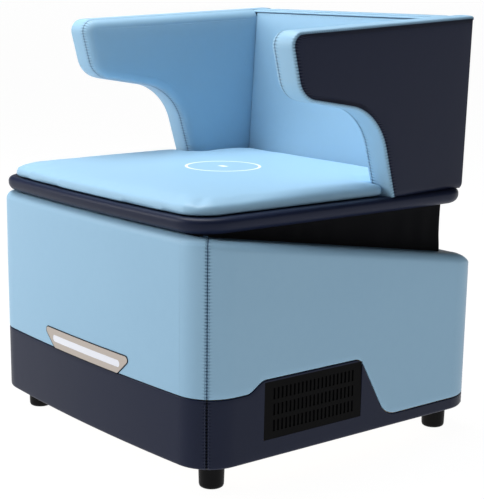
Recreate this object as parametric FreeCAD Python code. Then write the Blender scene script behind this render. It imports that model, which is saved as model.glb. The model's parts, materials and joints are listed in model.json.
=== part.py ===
import FreeCAD, Part
import math
import os

# A square upholstered massage chair. Its seat, with a back and two wings, tilts on hinges along the front
# top edge of a covered plywood base, and a linear actuator in the base drives it.
# Frame: +Z up, the sitter faces -Y, origin on the floor under the middle of the chair. Millimetres.

V = FreeCAD.Vector
X_AXIS = V(1, 0, 0)
Y_AXIS = V(0, 1, 0)
Z_AXIS = V(0, 0, 1)

# ---- Driving dimensions ----------------------------------------------------------------------------------

# Base outline, height and upholstery
base_half_width = 340.0
base_front = -334.0
base_rear = 335.0
base_bow = 14.0
base_corner_radius = 68.0
base_bottom = 48.0
base_front_height = 438.0
slope_start = -313.0
slope_angle = 9.0
rear_top_radius = 50.0
cover_thickness = 6.0
wall_thickness = 15.0
floor_thickness = 18.0
rail_thickness = 12.0
post_size = 72.0
top_rail_width = 150.0

# Navy lower band: heights of its upper edge along the side
band_front_height = 168.0
band_rear_height = 70.0
band_hump_height = 187.0

# Ventilation grille and fan
vent_width = 224.0
vent_height = 102.0
vent_y = -82.0
vent_z = 131.5
vent_corner_radius = 4.0
grille_thickness = 3.0
slot_width = 4.0
slot_pitch = 9.0
slot_rows = 3
fan_size = 80.0
fan_depth = 25.0
fan_bore_radius = 37.5
fan_hub_radius = 15.5
fan_blades = 7
fan_screw_spacing = 71.5

# Light bar on the front
bezel_top_half_width = 146.0
bezel_bottom_half_width = 104.0
bezel_bottom = 168.0
bezel_top = 204.0
bezel_bottom_radius = 9.0
bezel_top_radius = 7.0
bezel_proud = 1.0
diffuser_length = 222.0
diffuser_height = 13.0
led_board_length = 200.0
led_board_height = 10.0
led_board_thickness = 1.6

# Feet
foot_radius = 23.0
foot_tip_radius = 21.5
foot_inset = 58.0
foot_bolt_radius = 4.0
foot_bolt_length = 40.0

# Front hinges
hinge_y = -290.0
hinge_z = 431.0
hinge_x = 200.0
hinge_knuckle_radius = 6.0
hinge_pin_radius = 3.0
hinge_half_length = 30.0
hinge_plate = 2.5
hinge_rail_height = 28.0

# Seat deck and cushion
deck_gap = 1.5
deck_thickness = 26.5
deck_half_width = 326.0
deck_front = -335.0
deck_rear = 305.0
deck_bow = 13.0
deck_corner_radius = 66.0
deck_rear_radius = 50.0
deck_edge_radius = 12.0
deck_wrap = 2.5
deck_window_margin = 30.0
seat_board_thickness = 18.0
cushion_half_width = 311.0
cushion_front = -329.0
cushion_corner_radius = 58.0
cushion_thickness = 21.0
cushion_skin = 1.5

# Shell: back and wings
shell_half_width = 310.5
shell_height = 780.0
wing_wall = 60.0
wing_splay = 3.39
back_seat_y = 241.0
back_top_y = 259.5
back_rear_seat_y = 303.0
back_rear_top_y = 314.5
wing_foot_y = 108.0
wing_foot_lean = 0.287
wing_arm_rear_z = 619.0
wing_arm_radius = 109.0
wing_chin_y = -124.0
wing_chin_z = 650.0
wing_chin_radius = 48.0
wing_nose_y = -151.0
wing_nose_top = 758.0
wing_nose_radius = 22.0
leather = 2.0
shell_board = 15.0
wing_board_depth = 31.0
wing_board_inset = 20.0
back_board_inset = 20.0

# Skirt
skirt_half_width = 300.0
skirt_front = -304.0
skirt_rear = 255.0
skirt_corner_radius = 30.0
skirt_thickness = 1.5

# Tilt actuator
actuator_foot_y = -30.0
actuator_foot_z = 100.0
actuator_head_y = 125.0
actuator_head_z = 415.0
actuator_pin_radius = 4.0
actuator_eye_radius = 11.0
actuator_eye_half_width = 11.0
actuator_tube_radius = 19.0
actuator_rod_radius = 12.0
actuator_stroke = 56.0
actuator_gearbox_top = 86.0
actuator_motor_radius = 18.0
actuator_motor_length = 70.0
actuator_plate = 6.0
clevis_ear = 6.0

# Massage unit under the seat
massage_y = -23.0
massage_z = 392.0
massage_case_radius = 40.0
massage_case_wall = 5.0
massage_case_half_length = 55.0
massage_shaft_radius = 5.0
massage_bearing_radius = 13.0
massage_bearing_width = 8.0
massage_rotor_radius = 20.5
massage_weight_radius = 28.0
massage_weight_width = 14.0

# Electrics
supply_size = (100.0, 200.0, 50.0)
supply_corner = (-230.0, -200.0)
control_board_size = (110.0, 140.0, 1.6)
control_board_corner = (120.0, 40.0)
standoff_height = 12.0
inlet_x = -200.0
inlet_z = 116.0
inlet_face_width = 48.0
inlet_face_height = 64.0
inlet_body_width = 28.0
inlet_body_height = 52.0
inlet_body_depth = 26.0
inlet_corner_radius = 3.0
inlet_face_thickness = 3.0
inlet_screw_reach = 28.0
socket_below = 11.0
socket_half_width = 12.25
socket_half_height = 8.5
socket_depth = 15.0
rocker_above = 15.0
rocker_half_width = 6.2
rocker_half_height = 8.5
rocker_throw = 7.0

# Clearances
running_clearance = 0.05
joint_clearance = 0.5
axial_clearance = 0.4
soft_clearance = 1.0
# How far a cutting or trimming solid is carried past the faces it has to clear
spare = 60.0

# ---- Derived levels --------------------------------------------------------------------------------------

deck_bottom = base_front_height + deck_gap
deck_top = deck_bottom + deck_thickness
board_bottom = deck_bottom + deck_wrap
board_top = board_bottom + seat_board_thickness
floor_top = base_bottom + floor_thickness
wall_inset = cover_thickness + wall_thickness
post_x = base_half_width - cover_thickness - post_size
front_post_y = base_front + base_bow + post_size
rear_post_y = base_rear - cover_thickness - post_size
socket_z = inlet_z - socket_below
rocker_z = inlet_z + rocker_above
inlet_face_y = base_rear - cover_thickness
inlet_front_y = inlet_face_y + inlet_face_thickness
window_half_width = skirt_half_width - 4
window_front = skirt_front + 4
window_rear = skirt_rear + deck_window_margin


# ---- Shape helpers ---------------------------------------------------------------------------------------

def block(x0, x1, y0, y1, z0, z1):
    return Part.makeBox(x1 - x0, y1 - y0, z1 - z0, V(x0, y0, z0))


def cylinder(radius, length, start, axis):
    return Part.makeCylinder(radius, length, start, axis)


def ring(outer_radius, inner_radius, length, start, axis):
    return cylinder(outer_radius, length, start, axis).cut(cylinder(inner_radius, length, start, axis))


def mirrored(shape):
    return shape.mirror(V(0, 0, 0), X_AXIS)


def fused(first, *others):
    return first.fuse(list(others)).removeSplitter()


def group(shapes):
    return Part.makeCompound([solid for shape in shapes for solid in shape.Solids])


def save(name, shape):
    if not shape.isValid() or not shape.Solids:
        raise ValueError(name + " is not a valid solid")
    shape.exportStep("parts/" + name + ".step")


def rounded_wire(corners, to_space):
    """Closed outline through (u, v, radius) corners, each rounded by an arc tangent to its two sides."""
    ends = []
    for index, (u, v, radius) in enumerate(corners):
        here = V(u, v, 0)
        back_way = V(corners[index - 1][0], corners[index - 1][1], 0) - here
        on_way = V(corners[(index + 1) % len(corners)][0], corners[(index + 1) % len(corners)][1], 0) - here
        back_way.normalize()
        on_way.normalize()
        half_angle = back_way.getAngle(on_way) / 2
        reach = radius / math.tan(half_angle)
        bisector = (back_way + on_way).normalize()
        middle = here + bisector * (radius / math.sin(half_angle) - radius)
        ends.append((here + back_way * reach, middle, here + on_way * reach, radius))
    edges = []
    for index, (start, middle, end, radius) in enumerate(ends):
        if radius > 0:
            edges.append(Part.Arc(to_space(start), to_space(middle), to_space(end)).toShape())
        next_start = ends[(index + 1) % len(ends)][0]
        if (next_start - end).Length > 1e-6:
            edges.append(Part.LineSegment(to_space(end), to_space(next_start)).toShape())
    return Part.Wire(edges)


def side_prism(corners, x0, x1, inset=0.0):
    """A (y, z, radius) outline, drawn in from all its sides by inset and carried from x0 to x1."""
    wire = rounded_wire(corners, lambda p: V(x0, p.x, p.y))
    if inset != 0:
        wire = wire.makeOffset2D(-inset)
    return Part.Face(wire).extrude(V(x1 - x0, 0, 0))


def front_prism(corners, y0, y1):
    """A (x, z, radius) outline carried from y0 to y1."""
    wire = rounded_wire(corners, lambda p: V(p.x, y0, p.y))
    return Part.Face(wire).extrude(V(0, y1 - y0, 0))


def plan_prism(corners, z0, z1):
    """A (x, y, radius) outline carried from z0 to z1."""
    wire = rounded_wire(corners, lambda p: V(p.x, p.y, z0))
    return Part.Face(wire).extrude(V(0, 0, z1 - z0))


def rectangle(u0, u1, v0, v1, radius):
    return [(u0, v0, radius), (u1, v0, radius), (u1, v1, radius), (u0, v1, radius)]


def upright_edges(solid):
    """The edges of a prism that run straight up, found by their end points."""
    found = []
    for edge in solid.Edges:
        low, high = edge.Vertexes[0].Point, edge.Vertexes[-1].Point
        if math.hypot(low.x - high.x, low.y - high.y) < 1e-6 and abs(low.z - high.z) > 1e-6:
            found.append(edge)
    return found


def bowed_prism(half_width, front, rear, bow, front_radius, rear_radius, z0, z1, inset=0.0):
    """A rounded rectangle with a bowed front, drawn in from all its sides by inset."""
    bow_radius = (half_width ** 2 + bow ** 2) / (2 * bow)
    bow_centre = front + bow_radius
    side = half_width - inset
    back = rear - inset
    shoulder = bow_centre - math.sqrt((bow_radius - inset) ** 2 - side ** 2)
    left, right = V(-side, shoulder, z0), V(side, shoulder, z0)
    nose = V(0, bow_centre - bow_radius + inset, z0)
    rear_right, rear_left = V(side, back, z0), V(-side, back, z0)
    outline = Part.Wire([
        Part.Arc(left, nose, right).toShape(),
        Part.LineSegment(right, rear_right).toShape(),
        Part.LineSegment(rear_right, rear_left).toShape(),
        Part.LineSegment(rear_left, left).toShape(),
    ])
    solid = Part.Face(outline).extrude(V(0, 0, z1 - z0))
    front_edges = [edge for edge in upright_edges(solid) if edge.CenterOfMass.y < back - 1e-3]
    solid = solid.makeFillet(front_radius - inset, front_edges)
    rear_edges = [edge for edge in upright_edges(solid) if edge.CenterOfMass.y > back - 1e-3]
    return solid.makeFillet(rear_radius - inset, rear_edges)


# ---- Base ------------------------------------------------------------------------------------------------

slope_tan = math.tan(math.radians(slope_angle))
slope_cos = math.cos(math.radians(slope_angle))


def slope_height(y, inset=0.0):
    """Height of the base's sloping top at y, or of the plane that lies inset below it."""
    return base_front_height - (y - slope_start) * slope_tan - inset / slope_cos


def under_slope(inset):
    """Everything below the plane that lies inset under the sloping top."""
    low, high = base_front - spare, base_rear + spare
    corners = [(low, 0, 0), (low, slope_height(low, inset), 0), (high, slope_height(high, inset), 0),
               (high, 0, 0)]
    return side_prism(corners, -base_half_width - spare, base_half_width + spare)


def base_plan(inset, z0=base_bottom, z1=base_front_height):
    return bowed_prism(base_half_width, base_front, base_rear, base_bow, base_corner_radius,
                       base_corner_radius, z0, z1, inset)


def base_form(inset):
    """The base's outer form drawn in by inset: flat front lip, sloping top, rounded rear top edge."""
    flat = base_front_height - inset
    kink = slope_start + inset * (1 - 1 / slope_cos) / slope_tan
    rear = base_rear - inset
    corners = [
        (base_front - spare, base_bottom, 0),
        (base_front - spare, flat, 0),
        (kink, flat, 0),
        (rear, slope_height(rear, inset), rear_top_radius - inset),
        (rear, base_bottom, 0),
    ]
    profile = side_prism(corners, -base_half_width - spare, base_half_width + spare)
    return base_plan(inset).common(profile)


outer_form = base_form(0)
core_form = base_form(cover_thickness)
inner_space = base_plan(wall_inset)
walls = core_form.cut(inner_space)
under_rails = under_slope(cover_thickness + rail_thickness)
far = base_half_width + spare

vent_outline = rectangle(vent_y - vent_width / 2, vent_y + vent_width / 2,
                         vent_z - vent_height / 2, vent_z + vent_height / 2, vent_corner_radius)
vent_cut = side_prism(vent_outline, base_half_width - cover_thickness, far)
vent_cuts = group([vent_cut, mirrored(vent_cut)])

bezel_outline = [
    (-bezel_bottom_half_width, bezel_bottom, bezel_bottom_radius),
    (bezel_bottom_half_width, bezel_bottom, bezel_bottom_radius),
    (bezel_top_half_width, bezel_top, bezel_top_radius),
    (-bezel_top_half_width, bezel_top, bezel_top_radius),
]
bezel_prism = front_prism(bezel_outline, base_front - spare, base_front + spare)
bezel_middle = (bezel_bottom + bezel_top) / 2
diffuser_outline = rectangle(-diffuser_length / 2, diffuser_length / 2, bezel_middle - diffuser_height / 2,
                             bezel_middle + diffuser_height / 2, diffuser_height / 2 - 0.01)
diffuser_prism = front_prism(diffuser_outline, base_front - spare, base_front + spare)

inlet_recess = front_prism(rectangle(inlet_x - inlet_face_width / 2, inlet_x + inlet_face_width / 2,
                                     inlet_z - inlet_face_height / 2, inlet_z + inlet_face_height / 2,
                                     inlet_corner_radius),
                           base_rear - cover_thickness, base_rear + spare)

band_outline = [
    (base_front - spare, 0, 0),
    (base_front - spare, band_front_height, 0),
    (vent_y - vent_width / 2 - 32, band_front_height, 25),
    (vent_y - vent_width / 2 - 4, band_hump_height, 25),
    (vent_y + vent_width / 2 - 4, band_hump_height, 22),
    (vent_y + vent_width / 2 + 62, band_rear_height, 45),
    (base_rear + spare, band_rear_height, 0),
    (base_rear + spare, 0, 0),
]
band_region = side_prism(band_outline, -far, far)


def make_base_upholstery():
    skin = outer_form.cut(core_form)
    skin = skin.cut([vent_cuts, bezel_prism, inlet_recess])
    opening = block(-window_half_width, window_half_width, window_front, skirt_rear, slope_height(base_rear),
                    base_front_height + spare)
    save("base_upper_cover", skin.cut([band_region, opening]))
    save("base_lower_band", skin.common(band_region))


def make_base_walls(fan_screws, inlet_screws):
    across = block(-post_x, post_x, -far, 0, 0, deck_top)
    front = walls.common(across)
    led_pocket = block(-led_board_length / 2 - 2, led_board_length / 2 + 2, base_front - spare,
                       base_front + cover_thickness + base_bow / 4 + 2 * led_board_thickness,
                       bezel_middle - led_board_height / 2 - 1, bezel_middle + led_board_height / 2 + 1)
    save("base_front_panel", front.cut(led_pocket))

    rear = walls.common(block(-post_x, post_x, 0, far, 0, deck_top)).common(under_rails)
    inlet_hole = block(inlet_x - inlet_body_width / 2, inlet_x + inlet_body_width / 2, 0, far,
                       inlet_z - inlet_body_height / 2, inlet_z + inlet_body_height / 2)
    save("base_rear_panel", rear.cut([inlet_hole] + inlet_screws))

    side = walls.common(block(0, far, front_post_y, rear_post_y, 0, deck_top)).common(under_rails)
    side = side.cut(cylinder(fan_bore_radius, far, V(0, vent_y, vent_z), X_AXIS))
    save("base_side_panel_right", side.cut(fan_screws))
    save("base_side_panel_left", mirrored(side))


def post_blocks():
    front = block(post_x, far, -far, front_post_y, 0, deck_top)
    rear = block(post_x, far, rear_post_y, far, 0, deck_top)
    return [front, mirrored(front), rear, mirrored(rear)]


def foot_places():
    x = base_half_width - foot_inset
    front = base_front + base_bow + foot_inset
    rear = base_rear - foot_inset
    return [(-x, front), (x, front), (-x, rear), (x, rear)]


def foot_bolt(x, y):
    return cylinder(foot_bolt_radius, foot_bolt_length, V(x, y, base_bottom), Z_AXIS)


def make_base_frame():
    bolts = group([foot_bolt(x, y) for x, y in foot_places()])
    save("foot_bolts", bolts)
    feet = [Part.makeCone(foot_tip_radius, foot_radius, base_bottom, V(x, y, 0), Z_AXIS)
            for x, y in foot_places()]
    save("feet", group(feet))

    blocks = post_blocks()
    front_posts = [core_form.common(post) for post in blocks[:2]]
    rear_posts = [core_form.common(post).common(under_rails) for post in blocks[2:]]
    save("base_corner_posts", group([post.cut(bolts) for post in front_posts + rear_posts]))

    floor = base_plan(wall_inset, base_bottom, floor_top).cut(blocks)
    save("base_floor", floor)

    slab = core_form.cut(under_rails).common(block(-far, far, front_post_y, base_rear + spare, 0, deck_top))
    rail_x = base_half_width - top_rail_width
    side_rail = slab.common(block(rail_x, far, front_post_y, rear_post_y - top_rail_width / 2, 0, deck_top))
    rear_rail = slab.common(block(-far, far, rear_post_y - top_rail_width / 2, base_rear + spare, 0,
                                  deck_top))
    save("base_top_rails", group([side_rail, mirrored(side_rail), rear_rail]))

    rail_top = hinge_z - hinge_knuckle_radius - soft_clearance
    rail = block(-post_x, post_x, base_front, hinge_y + 4, rail_top - hinge_rail_height, rail_top)
    save("hinge_rail", rail.common(inner_space))


def make_light_bar():
    shell = base_plan(-bezel_proud, bezel_bottom - 1, bezel_top + 1).cut(base_plan(cover_thickness))
    front_half = block(-far, far, base_front - spare, 0, 0, deck_top)
    save("light_bar_bezel", shell.common(bezel_prism).common(front_half).cut(diffuser_prism))
    lens = base_plan(-bezel_proud / 2, bezel_bottom - 1, bezel_top + 1).cut(base_plan(cover_thickness))
    save("light_bar_diffuser", lens.common(diffuser_prism).common(front_half))
    board_face = base_front + cover_thickness + base_bow / 4 + 2 * led_board_thickness
    save("light_bar_board",
         block(-led_board_length / 2, led_board_length / 2, board_face - led_board_thickness,
                                  board_face, bezel_middle - led_board_height / 2,
                                  bezel_middle + led_board_height / 2))


def make_vent_grilles():
    plate_x = base_half_width - cover_thickness
    gap = joint_clearance
    outline = rectangle(vent_y - vent_width / 2 + gap, vent_y + vent_width / 2 - gap,
                        vent_z - vent_height / 2 + gap, vent_z + vent_height / 2 - gap,
                        vent_corner_radius - gap)
    plate = side_prism(outline, plate_x, plate_x + grille_thickness)
    slot_columns = int((vent_width - 3 * slot_pitch) / slot_pitch)
    row_pitch = (vent_height - 2 * slot_pitch) / slot_rows
    slots = []
    for column in range(slot_columns):
        y = vent_y + (column - (slot_columns - 1) / 2) * slot_pitch
        for row in range(slot_rows):
            z = vent_z + (row - (slot_rows - 1) / 2) * row_pitch
            slots.append(block(plate_x - 1, plate_x + grille_thickness + 1, y - slot_width / 2,
                               y + slot_width / 2,
                               z - row_pitch / 2 + slot_width, z + row_pitch / 2 - slot_width))
    grille = plate.cut(slots)
    save("vent_grilles", group([grille, mirrored(grille)]))


def make_fan():
    frame_x = base_half_width - wall_inset - fan_depth
    hub_plate = 3.0
    half = fan_size / 2
    frame = block(frame_x, frame_x + fan_depth, vent_y - half, vent_y + half, vent_z - half, vent_z + half)
    frame = frame.cut(cylinder(fan_bore_radius, fan_depth, V(frame_x, vent_y, vent_z), X_AXIS))
    hub = cylinder(fan_hub_radius, hub_plate, V(frame_x, vent_y, vent_z), X_AXIS)
    struts = [
        block(frame_x, frame_x + hub_plate, vent_y - half + 1, vent_y + half - 1, vent_z - 2, vent_z + 2),
        block(frame_x, frame_x + hub_plate, vent_y - 2, vent_y + 2, vent_z - half + 1, vent_z + half - 1),
    ]
    frame = fused(frame, hub, *struts)
    shaft_radius = 2.0
    frame = frame.cut(cylinder(shaft_radius + running_clearance, hub_plate, V(frame_x, vent_y, vent_z),
                               X_AXIS))

    spread = fan_screw_spacing / 2
    screws = []
    for side_y in (-spread, spread):
        for side_z in (-spread, spread):
            place = V(frame_x - 2, vent_y + side_y, vent_z + side_z)
            screws.append(fused(cylinder(2.0, fan_depth + 10, place, X_AXIS),
                                cylinder(3.5, 2, place, X_AXIS)))
    frame = frame.cut(screws)
    save("fan_frame", frame)
    save("fan_screws", group(screws))

    rotor_x = frame_x + hub_plate + 1
    rotor = fused(cylinder(fan_hub_radius, fan_depth - hub_plate - 3, V(rotor_x, vent_y, vent_z), X_AXIS),
                  cylinder(shaft_radius, hub_plate + 2, V(rotor_x - hub_plate - 1, vent_y, vent_z), X_AXIS))
    blade_reach = fan_bore_radius - 1.5
    blade_chord = 14.0
    for index in range(fan_blades):
        blade = block(-blade_chord / 2, blade_chord / 2, -0.75, 0.75, fan_hub_radius - 2, blade_reach)
        blade.rotate(V(0, 0, 0), Z_AXIS, 35)
        blade.translate(V(rotor_x + (fan_depth - hub_plate - 3) / 2, vent_y, vent_z))
        blade.rotate(V(0, vent_y, vent_z), X_AXIS, index * 360 / fan_blades)
        rotor = rotor.fuse(blade)
    save("fan_rotor", rotor.removeSplitter())
    return screws


# ---- Electrics on the base -------------------------------------------------------------------------------

def make_electrics():
    x, y = supply_corner
    save("power_supply",
         block(x, x + supply_size[0], y, y + supply_size[1], floor_top, floor_top + supply_size[2]))

    x, y = control_board_corner
    level = floor_top + standoff_height
    board = block(x, x + control_board_size[0], y, y + control_board_size[1], level,
                  level + control_board_size[2])
    chips = [block(x + 15, x + 45, y + 20, y + 50, level + control_board_size[2], level + 8),
             block(x + 60, x + 95, y + 70, y + 120, level + control_board_size[2], level + 20)]
    save("control_board", fused(board, *chips))
    inset = 6.0
    standoffs = []
    for post_at_x in (x + inset, x + control_board_size[0] - inset):
        for post_at_y in (y + inset, y + control_board_size[1] - inset):
            standoffs.append(cylinder(3, standoff_height, V(post_at_x, post_at_y, floor_top), Z_AXIS))
    save("control_standoffs", group(standoffs))


def make_inlet():
    gap = joint_clearance
    half_width, half_height = inlet_face_width / 2 - gap, inlet_face_height / 2 - gap
    face = front_prism(rectangle(inlet_x - half_width, inlet_x + half_width, inlet_z - half_height,
                                 inlet_z + half_height, inlet_corner_radius - gap), inlet_face_y,
                                 inlet_front_y)
    body = block(inlet_x - inlet_body_width / 2, inlet_x + inlet_body_width / 2,
                 inlet_face_y - inlet_body_depth,
                 inlet_face_y, inlet_z - inlet_body_height / 2, inlet_z + inlet_body_height / 2)
    module = fused(face, body)
    socket = block(inlet_x - socket_half_width, inlet_x + socket_half_width, inlet_front_y - socket_depth,
                   inlet_front_y, socket_z - socket_half_height, socket_z + socket_half_height)
    well_margin = 1.3
    well = block(inlet_x - rocker_half_width - gap, inlet_x + rocker_half_width + gap, inlet_front_y - 12,
                 inlet_front_y, rocker_z - rocker_half_height - well_margin,
                 rocker_z + rocker_half_height + well_margin)
    module = module.cut([socket, well])
    screws = []
    for side in (-1, 1):
        place = V(inlet_x, inlet_front_y + 0.5, inlet_z + side * inlet_screw_reach)
        screws.append(fused(cylinder(1.6, 16, place, -Y_AXIS), cylinder(3.0, 1.2, place, -Y_AXIS)))
    module = module.cut(screws)
    pins = []
    for pin_x, pin_z in ((-7.0, -1.5), (0.0, 2.5), (7.0, -1.5)):
        pins.append(block(inlet_x + pin_x - 1, inlet_x + pin_x + 1, inlet_front_y - socket_depth,
                          inlet_front_y - 6, socket_z + pin_z - 2, socket_z + pin_z + 2))
    save("inlet_module", fused(module, *pins))
    save("inlet_screws", group(screws))

    rocker_outline = [
        (inlet_front_y, rocker_z - rocker_half_height, 0),
        (inlet_front_y - 1.0, rocker_z, 0),
        (inlet_front_y, rocker_z + rocker_half_height, 0),
        (inlet_front_y - 6.5, rocker_z + 3, 0),
        (inlet_front_y - 6.5, rocker_z - 3, 0),
    ]
    rocker = side_prism(rocker_outline, inlet_x - rocker_half_width, inlet_x + rocker_half_width)
    rocker.rotate(V(inlet_x, inlet_front_y - 2, rocker_z), X_AXIS, rocker_throw)
    save("power_rocker", rocker)
    return screws


# ---- Hinges and actuator ---------------------------------------------------------------------------------

def make_hinges():
    base_leaves = []
    seat_leaves = []
    pins = []
    third = hinge_half_length / 3
    rail_face = hinge_y + 4
    rail_top = hinge_z - hinge_knuckle_radius - soft_clearance
    for side in (-1, 1):
        x = side * hinge_x
        pin = cylinder(hinge_pin_radius, 2 * hinge_half_length, V(x - hinge_half_length, hinge_y, hinge_z),
                       X_AXIS)
        pins.append(pin)
        base_leaf = None
        for start in (x - hinge_half_length, x + third):
            knuckle = cylinder(hinge_knuckle_radius, 2 * third, V(start, hinge_y, hinge_z), X_AXIS)
            strap = block(start, start + 2 * third, rail_face, rail_face + hinge_plate, rail_top - 8,
                          hinge_z)
            arm = fused(knuckle, strap)
            base_leaf = arm if base_leaf is None else base_leaf.fuse(arm)
        plate = block(x - hinge_half_length, x + hinge_half_length, rail_face, rail_face + hinge_plate,
                      rail_top - hinge_rail_height, rail_top - 8)
        base_leaves.append(fused(base_leaf, plate).cut(pin))
        seat_half = third - axial_clearance
        knuckle = cylinder(hinge_knuckle_radius, 2 * seat_half, V(x - seat_half, hinge_y, hinge_z), X_AXIS)
        web = block(x - seat_half, x + seat_half, hinge_y - 3, hinge_y + 3, hinge_z, board_bottom)
        plate = block(x - hinge_half_length, x + hinge_half_length, hinge_y - 3, hinge_y + 47,
                      board_bottom - hinge_plate, board_bottom)
        bore = cylinder(hinge_pin_radius + running_clearance, 2 * hinge_half_length,
                        V(x - hinge_half_length, hinge_y, hinge_z), X_AXIS)
        seat_leaves.append(fused(knuckle, web, plate).cut(bore))
    save("hinge_base_leaves", group(base_leaves))
    save("hinge_seat_leaves", group(seat_leaves))
    save("hinge_pins", group(pins))


actuator_length = math.hypot(actuator_head_y - actuator_foot_y, actuator_head_z - actuator_foot_z)
actuator_lean = math.degrees(math.atan2(actuator_head_y - actuator_foot_y,
                                        actuator_head_z - actuator_foot_z))


def lean_with_actuator(shape):
    """Turn a shape that was built upright over the actuator's foot pin to the actuator's own slant."""
    turned = shape.copy()
    turned.rotate(V(0, actuator_foot_y, actuator_foot_z), X_AXIS, -actuator_lean)
    return turned


def clevis(pin_y, pin_z, plate_z0, plate_z1):
    """Two ears either side of an actuator eye, on a plate between the heights plate_z0 and plate_z1."""
    inner = actuator_eye_half_width + axial_clearance
    outer = inner + clevis_ear
    half_depth = 30.0
    plate = block(-outer - 8, outer + 8, pin_y - half_depth, pin_y + half_depth, plate_z0, plate_z1)
    ears = []
    for start in (-outer, inner):
        boss = cylinder(actuator_eye_radius, clevis_ear, V(start, pin_y, pin_z), X_AXIS)
        low, high = sorted((pin_z, (plate_z0 + plate_z1) / 2))
        ears.append(boss)
        ears.append(block(start, start + clevis_ear, pin_y - actuator_eye_radius,
                          pin_y + actuator_eye_radius,
                          low, high))
    pin = cylinder(actuator_pin_radius, 2 * outer, V(-outer, pin_y, pin_z), X_AXIS)
    return fused(plate, *ears).cut(pin), pin


def actuator_eye(along, bore_radius):
    centre = V(-actuator_eye_half_width, actuator_foot_y, actuator_foot_z + along)
    return (cylinder(actuator_eye_radius, 2 * actuator_eye_half_width, centre, X_AXIS),
            cylinder(bore_radius, 2 * actuator_eye_half_width, centre, X_AXIS))


def make_actuator():
    bracket, pin = clevis(actuator_foot_y, actuator_foot_z, floor_top, floor_top + actuator_plate)
    save("actuator_base_bracket", bracket)
    save("actuator_base_pin", pin)
    bracket, pin = clevis(actuator_head_y, actuator_head_z, board_bottom - actuator_plate, board_bottom)
    save("actuator_seat_bracket", bracket)
    save("actuator_seat_pin", pin)

    y, z = actuator_foot_y, actuator_foot_z
    eye, bore = actuator_eye(0, actuator_pin_radius + running_clearance)
    gearbox = block(-22, 22, y - 62, y + 24, z + 16, z + actuator_gearbox_top)
    neck = block(-actuator_eye_half_width, actuator_eye_half_width, y - 9, y + 9, z, z + 20)
    motor = cylinder(actuator_motor_radius, actuator_motor_length, V(0, y - 43, z + actuator_gearbox_top),
                     Z_AXIS)
    gearmotor = fused(eye, neck, gearbox, motor).cut(bore)
    save("actuator_gearmotor", lean_with_actuator(gearmotor))

    tube_top = actuator_length - actuator_stroke - actuator_eye_radius - 20
    tube_bore = actuator_rod_radius + joint_clearance
    tube = ring(actuator_tube_radius, tube_bore, tube_top - actuator_gearbox_top,
                V(0, y, z + actuator_gearbox_top), Z_AXIS)
    save("actuator_tube", lean_with_actuator(tube))

    rod_foot = actuator_gearbox_top + actuator_stroke + 12
    rod = cylinder(actuator_rod_radius, actuator_length - rod_foot - 4, V(0, y, z + rod_foot), Z_AXIS)
    eye, bore = actuator_eye(actuator_length, actuator_pin_radius + joint_clearance)
    flats = block(-actuator_eye_half_width, actuator_eye_half_width, y - spare, y + spare,
                  z + actuator_length - 2 * actuator_eye_radius, z + actuator_length + spare)
    rod_head = rod.common(flats)
    rod_shank = rod.cut(block(-spare, spare, y - spare, y + spare,
                              z + actuator_length - 2 * actuator_eye_radius,
                              z + actuator_length + spare))
    save("actuator_rod", lean_with_actuator(fused(rod_shank, rod_head, eye).cut(bore)))


# ---- Massage unit ----------------------------------------------------------------------------------------

def make_massage_unit():
    half = massage_case_half_length
    plate = 6.0
    inner_radius = massage_case_radius - massage_case_wall
    left_end = V(-half, massage_y, massage_z)
    case = fused(
        cylinder(massage_case_radius, 2 * half, left_end, X_AXIS),
        block(-half, half, massage_y - 22, massage_y + 22, massage_z, board_bottom - plate),
        block(-half - 8, half + 8, massage_y - 50, massage_y + 50, board_bottom - plate, board_bottom),
    )
    save("massage_case", case.cut(cylinder(inner_radius, 2 * half, left_end, X_AXIS)))

    air_gap = 0.5
    stator_half = 30.0
    save("massage_stator", ring(inner_radius, massage_rotor_radius + air_gap, 2 * stator_half,
                                V(-stator_half, massage_y, massage_z), X_AXIS))

    shields = []
    bearings = []
    for start in (-half - massage_bearing_width, half):
        place = V(start, massage_y, massage_z)
        shields.append(ring(massage_case_radius, massage_bearing_radius, massage_bearing_width, place,
                            X_AXIS))
        bearings.append(ring(massage_bearing_radius, massage_shaft_radius + running_clearance,
                             massage_bearing_width, place, X_AXIS))
    save("massage_end_shields", group(shields))
    save("massage_bearings", group(bearings))

    shaft_half = half + massage_bearing_width + massage_weight_width + 4
    shaft = cylinder(massage_shaft_radius, 2 * shaft_half, V(-shaft_half, massage_y, massage_z), X_AXIS)
    armature = cylinder(massage_rotor_radius, 2 * stator_half - 8,
                        V(-stator_half + 4, massage_y, massage_z), X_AXIS)
    save("massage_armature", fused(shaft, armature))

    weights = []
    weight_start = half + massage_bearing_width + 2
    for start in (-weight_start - massage_weight_width, weight_start):
        disc = cylinder(massage_weight_radius, massage_weight_width, V(start, massage_y, massage_z), X_AXIS)
        lower = block(start, start + massage_weight_width, massage_y - spare, massage_y + spare,
                      massage_z - spare, massage_z)
        boss = cylinder(2 * massage_shaft_radius, massage_weight_width, V(start, massage_y, massage_z),
                        X_AXIS)
        weights.append(fused(disc.common(lower), boss).cut(shaft))
    save("eccentric_weights", group(weights))


# ---- Shell: back and wings -------------------------------------------------------------------------------

def back_front(z):
    """Where the back's leaning front face is at height z."""
    return back_seat_y + (back_top_y - back_seat_y) * (z - deck_top) / (shell_height - deck_top)


def back_rear(z):
    """Where the back's leaning rear face is at height z."""
    rise = (z - deck_top) / (shell_height - deck_top)
    return back_rear_seat_y + (back_rear_top_y - back_rear_seat_y) * rise


shell_top_slope = (shell_height - wing_nose_top) / (back_rear_top_y - wing_nose_y)


def shell_top(y, inset=0.0):
    """Height of the shell's gently rising top edge at y."""
    return shell_height - inset - (back_rear_top_y - y) * shell_top_slope


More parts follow.
